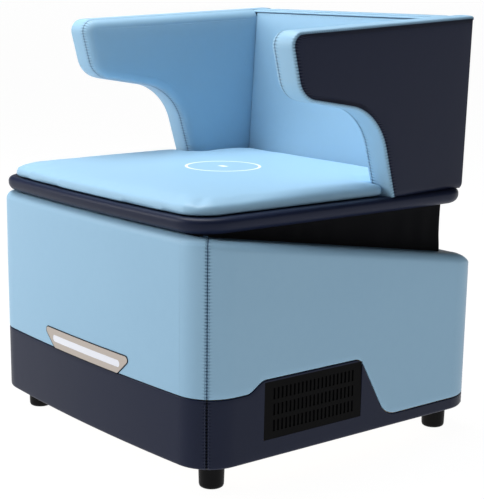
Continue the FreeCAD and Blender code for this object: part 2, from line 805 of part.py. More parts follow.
def back_prism(front_inset, rear_inset, top_inset, side_inset):
    """The back across the chair, drawn in from its front, rear, top and sides."""
    half = shell_half_width - side_inset
    corners = []
    for face, inset in ((back_front, front_inset), (back_rear, -rear_inset)):
        foot = face(deck_top) + inset
        lean = face(deck_top + 1) - face(deck_top)
        rise = (shell_top(foot, top_inset) - deck_top) / (1 - lean * shell_top_slope)
        corners.append([(foot, deck_top, 0), (foot + lean * rise, deck_top + rise, 0)])
    front, rear = corners
    return side_prism([front[0], front[1], rear[1], rear[0]], -half, half)


def wing_profile():
    """The right wing's side view: foot, hollow under the arm, nose, top; runs on into back and deck."""
    below, behind = deck_top - spare, back_rear_top_y + spare
    return [
        (wing_foot_y + spare * wing_foot_lean, below, 0),
        (wing_foot_y - (wing_arm_rear_z - deck_top) * wing_foot_lean, wing_arm_rear_z, wing_arm_radius),
        (wing_chin_y, wing_chin_z, wing_chin_radius),
        (wing_nose_y, wing_nose_top, wing_nose_radius),
        (behind, shell_top(behind), 0),
        (behind, below, 0),
    ]


def behind_plane(front_inset):
    """Everything behind the plane that lies front_inset inside the back's front face."""
    low, high = deck_top - spare, shell_height + spare
    return side_prism([(back_front(low) + front_inset, low, 0), (back_front(high) + front_inset, high, 0),
                       (far, high, 0), (far, low, 0)], -far, far)


def splayed(shape):
    """Turn a right-hand wing piece out about the back's outer corner."""
    turned = shape.copy()
    turned.rotate(V(shell_half_width, back_rear_seat_y, 0), Z_AXIS, wing_splay)
    return turned


def wing_piece(depth_in, depth_out, inset=0.0):
    """A slice of the right wing between two depths from its outer face, trimmed to the deck only."""
    piece = side_prism(wing_profile(), shell_half_width - depth_out, shell_half_width - depth_in, inset)
    return splayed(piece).cut(block(-far, far, -far, far, 0, deck_top))


def shell_bolt_places():
    lean = math.tan(math.radians(wing_splay))
    board_x = shell_half_width - wing_board_depth - shell_board / 2
    places = []
    for y in (wing_foot_y + 36, wing_foot_y + 104):
        x = board_x + (back_rear_seat_y - y) * lean
        places.extend([(-x, y), (x, y)])
    board_y = back_seat_y + back_board_inset + shell_board / 2 + 1.5
    places.extend([(-150, board_y), (150, board_y)])
    return places


def make_shell():
    bolts = []
    for x, y in shell_bolt_places():
        bolts.append(fused(cylinder(4, 50, V(x, y, board_bottom), Z_AXIS),
                           cylinder(6.5, 5, V(x, y, board_bottom - 5), Z_AXIS)))
    save("shell_bolts", group(bolts))

    back = back_prism(0, 0, 0, 0)
    inside = back_prism(-spare, leather, -spare, leather)
    core = back_prism(leather, leather, leather, leather)
    back_board = behind_plane(back_board_inset).cut(behind_plane(back_board_inset + shell_board))
    board_half = shell_half_width - back_board_inset
    back_board = back_board.common(block(-board_half, board_half, 0, far, deck_top,
                                         shell_height - back_board_inset))

    wing_board = wing_piece(wing_board_depth, wing_board_depth + shell_board, wing_board_inset)
    wing_board = wing_board.cut(behind_plane(back_board_inset))
    wing_boards = group([wing_board, mirrored(wing_board)])
    wing_bolts = []
    board_middle = shell_half_width - wing_board_depth - shell_board / 2
    for z in (deck_top + 80, shell_height - 80):
        head_y = back_front(z) + back_board_inset + shell_board
        place = V(board_middle, head_y + 6, z)
        bolt = fused(cylinder(4, 66, place, -Y_AXIS), cylinder(6.5, 5, place, -Y_AXIS))
        bolt = splayed(bolt)
        wing_bolts.extend([bolt, mirrored(bolt)])
    save("wing_bolts", group(wing_bolts))
    all_bolts = bolts + wing_bolts
    save("wing_boards", group([solid.cut(all_bolts) for solid in wing_boards.Solids]))
    save("back_board", back_board.cut(all_bolts))

    save("back_foam", core.cut([back_board, wing_boards] + all_bolts))
    save("back_outer_cover", back.cut(inside))
    front_skin = back_prism(0, leather, 0, leather).cut(behind_plane(leather))
    save("back_inner_cover", front_skin.cut(wing_boards))
    back_rim = back_prism(leather, leather, 0, leather).cut(core)

    behind = behind_plane(0)
    wing_parts = {
        "wing_outer_cover": wing_piece(0, leather),
        "wing_inner_cover": wing_piece(wing_wall - leather, wing_wall),
        "wing_foam": wing_piece(leather, wing_wall - leather, leather).cut([wing_board] + all_bolts),
    }
    for name, piece in wing_parts.items():
        piece = piece.cut(behind)
        save(name + "_right", piece)
        save(name + "_left", mirrored(piece))
    wing_rim = wing_piece(leather, wing_wall - leather)
    wing_rim = wing_rim.cut(wing_piece(leather, wing_wall - leather, leather))
    wing_rim = wing_rim.cut(behind)
    save("shell_rim", group([wing_rim, mirrored(wing_rim), back_rim]))
    return bolts


# ---- Seat deck, cushion and skirt ------------------------------------------------------------------------

def deck_plan(z0, z1, inset=0.0):
    return bowed_prism(deck_half_width, deck_front, deck_rear, deck_bow, deck_corner_radius,
                       deck_rear_radius,
                       z0, z1, inset)


def make_seat(bolts):
    bullnose = deck_plan(deck_bottom, deck_top)
    rims = [edge for edge in bullnose.Edges
            if abs(edge.BoundBox.ZMin - edge.BoundBox.ZMax) < 1e-6]
    bullnose = bullnose.makeFillet(deck_edge_radius, rims)
    board = deck_plan(board_bottom, board_top, deck_edge_radius)
    window = block(-window_half_width, window_half_width, window_front, window_rear, 0, board_bottom)
    save("seat_board", board.cut(bolts))
    save("deck_cover", bullnose.cut([board, window] + bolts))

    cushion_top = deck_top + cushion_thickness
    foam = notched(cushion_plan(deck_top + cushion_skin, cushion_top - cushion_skin, cushion_skin),
                   cushion_skin)
    save("cushion_foam", foam)
    save("cushion_cover", notched(cushion_plan(deck_top, cushion_top, 0), 0).cut(foam))


def cushion_plan(z0, z1, inset):
    rear = back_seat_y - soft_clearance
    return bowed_prism(cushion_half_width, cushion_front, rear, deck_bow, cushion_corner_radius, 6, z0, z1,
                       inset)


def notched(cushion, skin):
    """Cut the cushion clear of the wings' feet, by skin more for the foam inside its cover."""
    gap = soft_clearance + skin
    foot = wing_piece(-spare, wing_wall + gap, -gap)
    return cushion.cut([foot, mirrored(foot)])


def make_skirt():
    outer = plan_prism(rectangle(-skirt_half_width, skirt_half_width, skirt_front, skirt_rear,
                                 skirt_corner_radius),
                       base_bottom, deck_bottom - axial_clearance)
    inner_half = skirt_half_width - skirt_thickness
    inner = plan_prism(rectangle(-inner_half, inner_half, skirt_front + skirt_thickness,
                                 skirt_rear - skirt_thickness, skirt_corner_radius - skirt_thickness),
                       base_bottom, deck_bottom)
    save("skirt", outer.cut([inner, under_slope(-axial_clearance)]))


os.makedirs("parts", exist_ok=True)
make_base_upholstery()
make_base_walls(fan_screws=make_fan(), inlet_screws=make_inlet())
make_base_frame()
make_light_bar()
make_vent_grilles()
make_electrics()
make_hinges()
make_actuator()
make_massage_unit()
shell_bolts = make_shell()
make_seat(shell_bolts)
make_skirt()
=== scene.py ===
import json
import math

import bmesh
import bpy
import numpy as np
from mathutils import Matrix, Vector


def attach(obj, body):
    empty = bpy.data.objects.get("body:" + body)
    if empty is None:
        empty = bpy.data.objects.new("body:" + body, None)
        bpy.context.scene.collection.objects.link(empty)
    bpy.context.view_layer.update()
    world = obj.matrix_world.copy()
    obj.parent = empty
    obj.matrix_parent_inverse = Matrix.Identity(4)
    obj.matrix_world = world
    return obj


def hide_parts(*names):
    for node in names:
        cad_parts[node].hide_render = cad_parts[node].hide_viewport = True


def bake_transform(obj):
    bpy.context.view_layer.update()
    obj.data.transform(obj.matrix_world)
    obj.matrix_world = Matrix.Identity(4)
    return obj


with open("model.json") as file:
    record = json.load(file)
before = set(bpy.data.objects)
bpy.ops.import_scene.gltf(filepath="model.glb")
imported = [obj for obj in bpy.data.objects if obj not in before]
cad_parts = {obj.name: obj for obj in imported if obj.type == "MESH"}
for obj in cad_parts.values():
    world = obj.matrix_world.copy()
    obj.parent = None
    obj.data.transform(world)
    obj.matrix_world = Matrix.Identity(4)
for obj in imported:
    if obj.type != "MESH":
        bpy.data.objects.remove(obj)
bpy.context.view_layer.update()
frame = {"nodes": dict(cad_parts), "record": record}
nodes = frame["nodes"]


# ---- Studio ----------------------------------------------------------------------------------------------
# The chair stands on a plain white floor that runs out past the picture, under a large soft lamp in front
# and to the left and another straight above, in a room that is pale low down and dim above.

scene = bpy.context.scene
scene.view_settings.view_transform = "Standard"

camera = bpy.data.objects.new("camera", bpy.data.cameras.new("camera"))
scene.collection.objects.link(camera)
scene.camera = camera
camera.data.lens = 98.47
camera.data.sensor_width = 36.0
camera.data.clip_end = 200.0
camera_right = Vector((0.62472477, 0.78076332, 0.01129556))
camera_up = Vector((-0.15939888, 0.11335451, 0.98068484))
camera_back = Vector((0.76440235, -0.61445861, 0.19526817))
turn = Matrix((camera_right, camera_up, camera_back)).transposed().to_4x4()
camera.matrix_world = Matrix.Translation((2.01838, -1.59706, 0.84469)) @ turn

room = bpy.data.worlds.new("room")
room.use_nodes = True
sky = room.node_tree.nodes
height = sky.new("ShaderNodeSeparateXYZ")
fade = sky.new("ShaderNodeValToRGB")
room.node_tree.links.new(sky.new("ShaderNodeTexCoord").outputs["Generated"], height.inputs[0])
room.node_tree.links.new(height.outputs["Z"], fade.inputs[0])
room.node_tree.links.new(fade.outputs[0], sky["Background"].inputs["Color"])
stops = fade.color_ramp.elements
stops.new(0.03)
stops.new(0.12)
for stop, (place, shade) in zip(stops, ((0.0, 0.95), (0.03, 0.88), (0.12, 0.35), (0.26, 0.05))):
    stop.position, stop.color = place, (shade, shade, shade, 1.0)
scene.world = room


def lamp(name, place, target, size, power):
    light = bpy.data.lights.new(name, "AREA")
    light.shape = "RECTANGLE"
    light.size, light.size_y = size
    light.energy = power
    holder = bpy.data.objects.new(name, light)
    scene.collection.objects.link(holder)
    holder.location = place
    holder.rotation_euler = (Vector(place) - Vector(target)).to_track_quat("Z", "Y").to_euler()


lamp("front_lamp", (-2.1, -2.6, 1.8), (0.0, 0.0, 0.35), (2.0, 1.6), 62.0)
lamp("top_lamp", (-0.6, -0.2, 3.0), (0.0, 0.0, 0.4), (2.0, 2.0), 106.0)


# ---- Leather ---------------------------------------------------------------------------------------------
# Every soft part is covered in the same smooth artificial leather, light blue or navy, with a fine pebble
# grain. Panels are sewn edge to edge and top-stitched, and the leather draws in a little at each stitch.

class Wire:
    """One output of a finish's nodes, which sums can be written on."""

    def __init__(self, finish, socket):
        self.finish, self.socket = finish, socket

    def sum(self, operation, *values):
        return self.finish.add("ShaderNodeMath", {"operation": operation}, dict(enumerate(values)))

    def __add__(self, other):
        return self.sum("ADD", self, other)

    def __radd__(self, other):
        return self.sum("ADD", other, self)

    def __sub__(self, other):
        return self.sum("SUBTRACT", self, other)

    def __rsub__(self, other):
        return self.sum("SUBTRACT", other, self)

    def __mul__(self, other):
        return self.sum("MULTIPLY", self, other)

    def __rmul__(self, other):
        return self.sum("MULTIPLY", other, self)

    def __truediv__(self, other):
        return self.sum("DIVIDE", self, other)

    def __rtruediv__(self, other):
        return self.sum("DIVIDE", other, self)

    def __pow__(self, other):
        return self.sum("POWER", self, other)

    def __lt__(self, other):
        return self.sum("LESS_THAN", self, other)

    def __gt__(self, other):
        return self.sum("GREATER_THAN", self, other)

    def __abs__(self):
        return self.sum("ABSOLUTE", self)

    def sine(self):
        return self.sum("SINE", self)

    def fading(self, reach):
        """1 where the value is 0, falling away smoothly over reach either side."""
        return self.sum("EXPONENT", (self / reach) * (self / reach) * -1.0)


class Finish:
    """A material built round one shader."""

    def __init__(self, name, **constants):
        self.material = bpy.data.materials.new(name)
        self.material.use_nodes = True
        self.tree = self.material.node_tree
        self.shader = self.tree.nodes["Principled BSDF"]
        for socket, value in constants.items():
            self.shader.inputs[socket.replace("_", " ").title().replace("Ior", "IOR")].default_value = value

    def add(self, kind, settings, sockets, output=0):
        """A node of that kind, its settings made first, then its sockets set or joined. Returns one output."""
        node = self.tree.nodes.new(kind)
        for key, value in settings.items():
            if key == "stops":
                ramp = node.color_ramp.elements
                while len(ramp) < len(value):
                    ramp.new(0.5)
                for stop, (place, shade) in zip(ramp, value):
                    stop.position, stop.color = place, (shade, shade, shade, 1.0)
            else:
                setattr(node, key, value)
        for key, value in sockets.items():
            if isinstance(value, Wire):
                self.tree.links.new(value.socket, node.inputs[key])
            else:
                node.inputs[key].default_value = value
        return Wire(self, node.outputs[output])

    def feed(self, socket, wire):
        self.tree.links.new(wire.socket, self.shader.inputs[socket])

    def place(self):
        return self.add("ShaderNodeTexCoord", {}, {}, "Object")

    def noise(self, scale, detail=2.0, roughness=0.5, place=None):
        sockets = {"Vector": place or self.place(), "Scale": scale, "Detail": detail, "Roughness": roughness}
        return self.add("ShaderNodeTexNoise", {}, sockets)

    def cells(self, scale, feature="F1", place=None):
        sockets = {"Vector": place or self.place(), "Scale": scale}
        return self.add("ShaderNodeTexVoronoi", {"feature": feature}, sockets)

    def mix(self, factor, first, second):
        """Two colours mixed: factor 0 gives the first."""
        return self.add("ShaderNodeMix", {"data_type": "RGBA"}, {0: factor, 6: first, 7: second}, 2)

    def bump(self, height, distance, strength=1.0, below=None):
        sockets = {"Height": height, "Distance": distance, "Strength": strength}
        if below:
            sockets["Normal"] = below
        return self.add("ShaderNodeBump", {}, sockets)


def rgb(red, green, blue):
    """A display colour from 0 to 255 as the linear colour that a shader takes."""
    linear = [((v / 255 + 0.055) / 1.055) ** 2.4 if v > 10 else v / 255 / 12.92 for v in (red, green, blue)]
    return (*linear, 1.0)


def leather(name, colour, worn, seam_shade, gloss, sheen, mark=None):
    """Grained leather whose seams are in the mesh's seam attribute: (distance from it, place along it, 0)."""
    finish = Finish(name, roughness=gloss, specular_ior_level=sheen)
    cloudy = finish.noise(5.0, 3.0)
    mottle = finish.noise(60.0, 4.0, 0.6)
    grain = finish.cells(850.0, "F1")
    pores = finish.noise(1400.0, 2.0, 0.6)
    seam = finish.add("ShaderNodeAttribute", {"attribute_name": "seam"}, {}, "Vector")
    parted = finish.add("ShaderNodeSeparateXYZ", {}, {"Vector": seam}, "X")
    along = Wire(finish, parted.socket.node.outputs["Y"])
    near = parted.fading(0.006)
    fold_shade = parted.fading(0.0014)
    pucker = (along * (2 * math.pi / 0.0055)).sine() * near

    base = finish.mix(cloudy * 0.5 + mottle * 0.5, colour, worn)
    # Painted shade: the colour darkens towards seam_shade in the fold along each seam, and in dashes of shade at the
    # puckers beside it.
    base = finish.mix(fold_shade * 0.85 + (pucker * 0.5 + 0.5) * near * 0.30, base, seam_shade)
    if mark:
        base = mark(finish, base)
    finish.feed("Base Color", base)
    finish.feed("Roughness", gloss - 0.07 + cloudy * 0.06 + mottle * 0.05 + grain * 0.05)
    drawn = finish.bump(pucker, 0.0009, 0.75)
    soft = finish.bump(finish.noise(22.0, 3.0), 0.0009, 0.35, drawn)
    finish.feed("Normal", finish.bump(grain * 0.7 + pores * 0.3, 0.00022, 0.5, soft))
    return finish.material


blue_leather = leather("light_blue_leather", rgb(145, 185, 213), rgb(153, 192, 218), rgb(60, 90, 118), 0.46, 0.25)
navy_leather = leather("navy_leather", rgb(22, 29, 51), rgb(27, 34, 57), rgb(5, 7, 14), 0.40, 0.14)


# ---- Base upholstery -------------------------------------------------------------------------------------
# Light blue leather is drawn over the plywood base and its sloping top, sewn at the four corners, and turned
# in at the foot against a navy band that is cut to a wave along the sides and holds the grilles.

FAR = 0.5
SEAM_COLUMNS = (0.0, 0.0007, 0.0014, 0.0024, 0.0036, 0.005, 0.007, 0.0095, 0.013, 0.018, 0.025, 0.034, 0.044, 0.0534)


def bowed_loop(half, front, rear, bow, front_radius, rear_radius, inset=0.0, steps=(60, 120, 50)):
    """A rounded rectangle with a bowed front, drawn in by inset, from the left end of the front.
    Rows of x, y, outward x, outward y, distance from the nearest corner's middle. Corners have columns close
    together about their middle, where the seam is."""
    bow_radius = (half ** 2 + bow ** 2) / (2 * bow)
    centre = front + bow_radius
    radius = max(front_radius - inset, 1e-3)
    back_radius = max(rear_radius - inset, 1e-3)
    side, back, arc = half - inset, rear - inset, bow_radius - inset
    corner_y = centre - math.sqrt((arc - radius) ** 2 - (side - radius) ** 2)
    lean = math.asin((side - radius) / (arc - radius))
    points = []

    def corner(middle_x, middle_y, start, end, bend):
        for offset in sorted({-d for d in SEAM_COLUMNS} | set(SEAM_COLUMNS)):
            angle = (start + end) / 2 + (end - start) / 2 * offset / SEAM_COLUMNS[-1]
            out = (math.cos(angle), math.sin(angle))
            points.append((middle_x + bend * out[0], middle_y + bend * out[1], *out, offset))

    def run(start, end, out, count):
        for step in np.linspace(0, 1, count + 1)[1:-1]:
            points.append((start[0] + (end[0] - start[0]) * step, start[1] + (end[1] - start[1]) * step, *out, FAR))

    for angle in np.linspace(-lean, lean, steps[0] + 1)[1:-1]:
        out = (math.sin(angle), -math.cos(angle))
        points.append((arc * out[0], centre + arc * out[1], *out, FAR))
    quarter = math.pi / 2
    corner(side - radius, corner_y, lean - quarter, 0.0, radius)
    run((side, corner_y), (side, back - back_radius), (1.0, 0.0), steps[1])
    corner(side - back_radius, back - back_radius, 0.0, quarter, back_radius)
    run((side - back_radius, back), (back_radius - side, back), (0.0, 1.0), steps[2])
    corner(back_radius - side, back - back_radius, quarter, 2 * quarter, back_radius)
    run((-side, back - back_radius), (-side, corner_y), (-1.0, 0.0), steps[1])
    corner(radius - side, corner_y, 2 * quarter, 3 * quarter - lean, radius)
    return np.array(points)


def lofted(name, rows, seams=None, closed=True, flip=False, capped=False):
    """A skin through rows of points, each row with the same count. seams is one (distance, along) per point."""
    rows = np.asarray(rows, float)
    count = rows.shape[1]
    columns = count if closed else count - 1
    faces = []
    for r in range(rows.shape[0] - 1):
        for c in range(columns):
            d = (c + 1) % count
            face = (r * count + c, r * count + d, (r + 1) * count + d, (r + 1) * count + c)
            faces.append(face[::-1] if flip else face)
    if capped:
        last = [(rows.shape[0] - 1) * count + c for c in range(count)]
        faces.append(last[::-1] if flip else last)
    mesh = bpy.data.meshes.new(name)
    mesh.from_pydata(rows.reshape(-1, 3).tolist(), [], faces)
    values = np.full((rows.shape[0] * count, 3), FAR)
    if seams is not None:
        values[:, :2] = np.asarray(seams, float).reshape(-1, 2)
    mesh.attributes.new("seam", "FLOAT_VECTOR", "POINT").data.foreach_set("vector", values.ravel())
    piece = bpy.data.objects.new(name, mesh)
    scene.collection.objects.link(piece)
    return piece


def finished(piece, material, thickness=0.0, crisp=45.0):
    """Gives a skin its thickness inwards and its finish, and makes it one plain smooth mesh."""
    if thickness:
        wall = piece.modifiers.new("thickness", "SOLIDIFY")
        wall.thickness, wall.offset = thickness, -1.0
    held = bpy.context.evaluated_depsgraph_get()
    mesh = bpy.data.meshes.new_from_object(piece.evaluated_get(held))
    piece.modifiers.clear()
    piece.data = mesh
    mesh.materials.clear()
    mesh.materials.append(material)
    mesh.polygons.foreach_set("use_smooth", [True] * len(mesh.polygons))
    mesh.set_sharp_from_angle(angle=math.radians(crisp))
    return piece


def settled(piece, material, body, stands_for, thickness=0.0, crisp=45.0):
    """Finishes a piece, hangs it on its body and hides the parts that it stands for."""
    finished(piece, material, thickness, crisp)
    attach(piece, body)
    if stands_for:
        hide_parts(*stands_for)
    return piece


base_half_width, base_front, base_rear, base_bow, base_corner = 0.340, -0.334, 0.335, 0.014, 0.068
base_bottom, lip_height, slope_start, slope = 0.048, 0.438, -0.313, math.tan(math.radians(9.0))
side_taper, taper_top = 0.0035, 0.30
top_edge, rear_edge = 0.018, 0.050
opening_half, opening_front, opening_rear, opening_corner = 0.296, -0.300, 0.255, 0.006


def base_outline(inset):
    return bowed_loop(base_half_width, base_front, base_rear, base_bow, base_corner, base_corner, inset)


rear_middle_y = base_rear - rear_edge
rear_middle_z = lip_height - slope * (rear_middle_y - slope_start) - rear_edge * math.hypot(1, slope)


def base_top(y):
    """Height of the base's top at y: its kink eased, its rear edge rounded."""
    past = y - slope_start
    plane = lip_height - slope * (past + np.sqrt(past ** 2 + 0.006 ** 2)) / 2
    drop = np.sqrt(np.clip(rear_edge ** 2 - np.clip(y - rear_middle_y, 0, None) ** 2, 0, None))
    return np.where(y > rear_middle_y + rear_edge * math.sin(math.atan(slope)), rear_middle_z + drop, plane)


outline = base_outline(0.0)
outward = outline[:, 2:4]
seam_distance = outline[:, 4]
at_seam = np.exp(-(seam_distance / 0.0013) ** 2)
beside_seam = np.exp(-((np.abs(seam_distance) - 0.005) / 0.0028) ** 2)
seam_depth = 0.0014 * at_seam - 0.0005 * beside_seam


def base_row(inset, height):
    """One row round the base: drawn in by inset and by the seams and the taper, at height."""
    height = np.broadcast_to(height, len(outline))
    taper = side_taper * np.clip((taper_top - height) / (taper_top - base_bottom), 0, 1) * np.abs(outward[:, 0])
    drawn = inset + seam_depth + taper
    row = np.empty((len(outline), 3))
    row[:, :2] = outline[:, :2] - outward * drawn[:, None]
    row[:, 2] = height
    return row


def path_seams(rows):
    """Seam values for rows round the base: distance from the corner seam, and height along it."""
    return [np.stack([seam_distance, row[:, 2]], axis=1) for row in rows]


wave = [(-0.45, 0.168, 0), (-0.226, 0.168, 0.025), (-0.198, 0.187, 0.025), (0.026, 0.187, 0.022),
        (0.092, 0.070, 0.045), (0.45, 0.070, 0)]


def rounded_path(corners, spacing):
    """Points about spacing apart along straight runs joined by arcs, from (u, v, radius) corners."""
    corners = [(np.array(c[:2], float), c[2]) for c in corners]
    points = [corners[0][0]]
    for (before, _), (here, radius), (after, _) in zip(corners, corners[1:], corners[2:]):
        back = (before - here) / np.linalg.norm(before - here)
        on = (after - here) / np.linalg.norm(after - here)
        half = math.acos(np.clip(back @ on, -1, 1)) / 2
        centre = here + (back + on) / np.linalg.norm(back + on) * radius / math.sin(half)
        start, end = here + back * radius / math.tan(half), here + on * radius / math.tan(half)
        first, last = start - centre, end - centre
        sweep = math.pi - 2 * half
        steps = max(3, int(radius * sweep / 0.0005))
        points.extend(centre + (first * math.sin((1 - t) * sweep) + last * math.sin(t * sweep)) / math.sin(sweep)
                      for t in np.linspace(0, 1, steps + 1))
    points = np.array([*points, corners[-1][0]])
    travelled = np.concatenate([[0], np.cumsum(np.linalg.norm(np.diff(points, axis=0), axis=1))])
    even = np.linspace(0, travelled[-1], int(travelled[-1] / spacing) + 1)
    return np.column_stack([np.interp(even, travelled, points[:, k]) for k in (0, 1)])


wave_path = rounded_path(wave, 0.002)
boundary = np.interp(outline[:, 1], wave_path[:, 0], wave_path[:, 1])
rear_share = np.clip(outward[:, 1], 0, 1) ** 2
edge_radius = top_edge + (rear_edge - top_edge) * rear_share
joint_gap = 0.0005

foot_roll, wrap_drop = 0.0050, 0.0012
band_rows = [base_row(0.016, base_bottom - wrap_drop), base_row(0.009, base_bottom - wrap_drop)]
for angle in np.linspace(0, math.pi / 2, 6)[1:]:
    band_rows.append(base_row(foot_roll * (1 - math.sin(angle)),
                              base_bottom - wrap_drop + foot_roll * (1 - math.cos(angle))))
for share in np.linspace(0, 1, 14)[1:]:
    low = base_bottom - wrap_drop + foot_roll
    band_rows.append(base_row(0.0, low + (boundary - 0.0025 - low) * share))
for inset, drop in ((0.0003, 0.0014), (0.0010, 0.0008), (0.0026, 0.0006)):
    band_rows.append(base_row(inset, boundary - drop))
navy_band = lofted("base_navy_band", band_rows, path_seams(band_rows))

upper_rows = [base_row(0.0026, boundary + joint_gap), base_row(0.0010, boundary + 0.0007),
              base_row(0.0003, boundary + 0.0013)]
for share in np.linspace(0, 1, 22):
    low, high = boundary + 0.0024, base_top(outline[:, 1]) - top_edge * (1 - rear_share)
    upper_rows.append(base_row(0.0, low + (high - low) * share))
for angle in np.linspace(0, math.pi / 2, 11)[1:]:
    inset = edge_radius * (1 - math.cos(angle))
    y = outline[:, 1] - outward[:, 1] * inset
    upper_rows.append(base_row(inset, base_top(y) - top_edge * (1 - rear_share) * (1 - math.sin(angle))))
opening = bowed_loop(opening_half, opening_front, opening_rear, 0.0005, opening_corner, opening_corner)
rim_row = upper_rows[-1]
for share in (0.2, 0.4, 0.6, 0.8, 1.0):
    row = rim_row.copy()
    row[:, :2] += (opening[:, :2] - rim_row[:, :2]) * share
    row[:, 2] = base_top(row[:, 1])
    upper_rows.append(row)
upper_leather = lofted("base_blue_leather", upper_rows, path_seams(upper_rows))

vent_window = ((1, -0.194, 0.030), (2, 0.0805, 0.1825))
inlet_window = ((0, -0.224, -0.176), (2, 0.084, 0.148))


def cut_window(piece, window, near):
    """Opens a window, two (axis, low, high) spans, in the faces of a skin that near() picks by their middle."""
    work = bmesh.new()
    work.from_mesh(piece.data)
    for axis, *levels in window:
        for level in levels:
            faces = [f for f in work.faces if near(f.calc_center_median())]
            edges = {e for f in faces for e in f.edges}
            verts = {v for f in faces for v in f.verts}
            normal = Vector([float(k == axis) for k in range(3)])
            bmesh.ops.bisect_plane(work, geom=[*faces, *edges, *verts], dist=1e-6, plane_co=normal * level,
                                   plane_no=normal)
    inside = []
    for face in work.faces:
        middle = face.calc_center_median()
        if near(middle) and all(low < middle[axis] < high for axis, low, high in window):
            inside.append(face)
    bmesh.ops.delete(work, geom=inside, context="FACES")
    work.to_mesh(piece.data)
    work.free()


cut_window(navy_band, vent_window, lambda p: abs(p.x) > base_half_width - 0.012)
cut_window(upper_leather, vent_window, lambda p: abs(p.x) > base_half_width - 0.012)
cut_window(upper_leather, inlet_window, lambda p: p.y > base_rear - 0.012)
settled(navy_band, navy_leather, "base", ["base_lower_band"], 0.0025)
settled(upper_leather, blue_leather, "base", ["base_upper_cover"], 0.0025)


# ---- Stitching -------------------------------------------------------------------------------------------
# Seams are top-stitched in matching thread: short, slightly sunk stitches at an even pitch, in one row or
# in two, one each side of the seam.

stitch_pitch, stitch_length, thread_radius = 0.0055, 0.0042, 0.00042


def thread(name, colour):
    finish = Finish(name, roughness=0.6)
    twist = finish.noise(2600.0, 2.0)
    finish.feed("Base Color", finish.mix(twist, colour, tuple(0.75 * c for c in colour[:3]) + (1.0,)))
    finish.feed("Normal", finish.bump(twist, 0.0002, 0.6))
    return finish.material


blue_thread = thread("light_blue_thread", rgb(98, 138, 168))
navy_thread = thread("navy_thread", rgb(52, 60, 88))


def stitch_tree():
    """Geometry Nodes: long ovals set end to end along every path, at an even pitch."""
    tree = bpy.data.node_groups.new("stitches_along_paths", "GeometryNodeTree")
    face = tree.interface
    face.new_socket("Paths", in_out="INPUT", socket_type="NodeSocketGeometry")
    for label in ("Pitch", "Length", "Radius"):
        face.new_socket(label, in_out="INPUT", socket_type="NodeSocketFloat")
    face.new_socket("Thread", in_out="INPUT", socket_type="NodeSocketMaterial")
    face.new_socket("Stitches", in_out="OUTPUT", socket_type="NodeSocketGeometry")

    def node(kind, settings=(), **sockets):
        made = tree.nodes.new(kind)
        for key, value in dict(settings).items():
            setattr(made, key, value)
        for key, value in sockets.items():
            key = key.replace("_", " ")
            if isinstance(value, bpy.types.NodeSocket):
                tree.links.new(value, made.inputs[key])
            else:
                made.inputs[key].default_value = value
        return made

    given = tree.nodes.new("NodeGroupInput").outputs
    curve = node("GeometryNodeMeshToCurve", Mesh=given["Paths"]).outputs[0]
    evened = node("GeometryNodeResampleCurve", {"mode": "LENGTH"}, Curve=curve, Length=given["Pitch"]).outputs[0]
    tangent = node("GeometryNodeInputTangent").outputs[0]
    turned = node("FunctionNodeAlignRotationToVector", {"axis": "Z"}, Vector=tangent).outputs[0]
    ball = node("GeometryNodeMeshUVSphere", Segments=6, Rings=5, Radius=1.0).outputs[0]
    half = node("ShaderNodeMath", {"operation": "MULTIPLY"}, Value=given["Length"])
    half.inputs[1].default_value = 0.5
    size = node("ShaderNodeCombineXYZ", X=given["Radius"], Y=given["Radius"], Z=half.outputs[0]).outputs[0]
    oval = node("GeometryNodeTransform", Geometry=ball, Scale=size).outputs[0]
    placed = node("GeometryNodeInstanceOnPoints", Points=evened, Instance=oval, Rotation=turned).outputs[0]
    real = node("GeometryNodeRealizeInstances", Geometry=placed).outputs[0]
    painted = node("GeometryNodeSetMaterial", Geometry=real, Material=given["Thread"]).outputs[0]
    tree.links.new(painted, tree.nodes.new("NodeGroupOutput").inputs[0])
    return tree


stitches_along_paths = stitch_tree()


def stitched(name, paths, material, body):
    """Sews every path, a list of points, and hangs the stitches on a body."""
    points, edges = [], []
    for path in paths:
        edges.extend((len(points) + k, len(points) + k + 1) for k in range(len(path) - 1))
        points.extend(tuple(p) for p in path)
    mesh = bpy.data.meshes.new(name)
    mesh.from_pydata(points, edges, [])
    piece = bpy.data.objects.new(name, mesh)
    scene.collection.objects.link(piece)
    sewing = piece.modifiers.new("sewing", "NODES")
    sewing.node_group = stitches_along_paths
    given = {"Pitch": stitch_pitch, "Length": stitch_length, "Radius": thread_radius, "Thread": material}
    for item in stitches_along_paths.interface.items_tree:
        if item.name in given and item.in_out == "INPUT":
            sewing[item.identifier] = given[item.name]
    held = bpy.context.evaluated_depsgraph_get()
    sewn = bpy.data.meshes.new_from_object(piece.evaluated_get(held))
    piece.modifiers.clear()
    piece.data = sewn
    sewn.polygons.foreach_set("use_smooth", [True] * len(sewn.polygons))
    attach(piece, body)
    return piece


def corner_paths(rows, first, last, spread):
    """Paths up the base's corner seams, spread to either side, through the rows from first to last."""
    paths = []
    middles = [k for k in range(len(outline)) if seam_distance[k] == 0.0]
    for middle in middles:
        for side in (-1, 1):
            place = middle
            while abs(seam_distance[place]) < spread:
                place += side
            paths.append([rows[r][place] for r in range(first, last)])
    return paths


stitched("base_blue_stitches", corner_paths(upper_rows, 3, 34, 0.0036), blue_thread, "base")
stitched("base_navy_stitches", corner_paths(band_rows, 6, 19, 0.0036), navy_thread, "base")


# ---- Seat deck -------------------------------------------------------------------------------------------
# The seat's plywood board is wrapped in navy leather over a thin roll of foam, so that its edge is a plump
# half round. It overhangs the base all round and carries the cushion, the back and the wings.

deck_half_width, deck_front, deck_rear, deck_bow = 0.326, -0.335, 0.305, 0.013
deck_front_corner, deck_rear_corner, deck_bottom, deck_top = 0.066, 0.050, 0.4395, 0.466
deck_opening_inset = 0.031


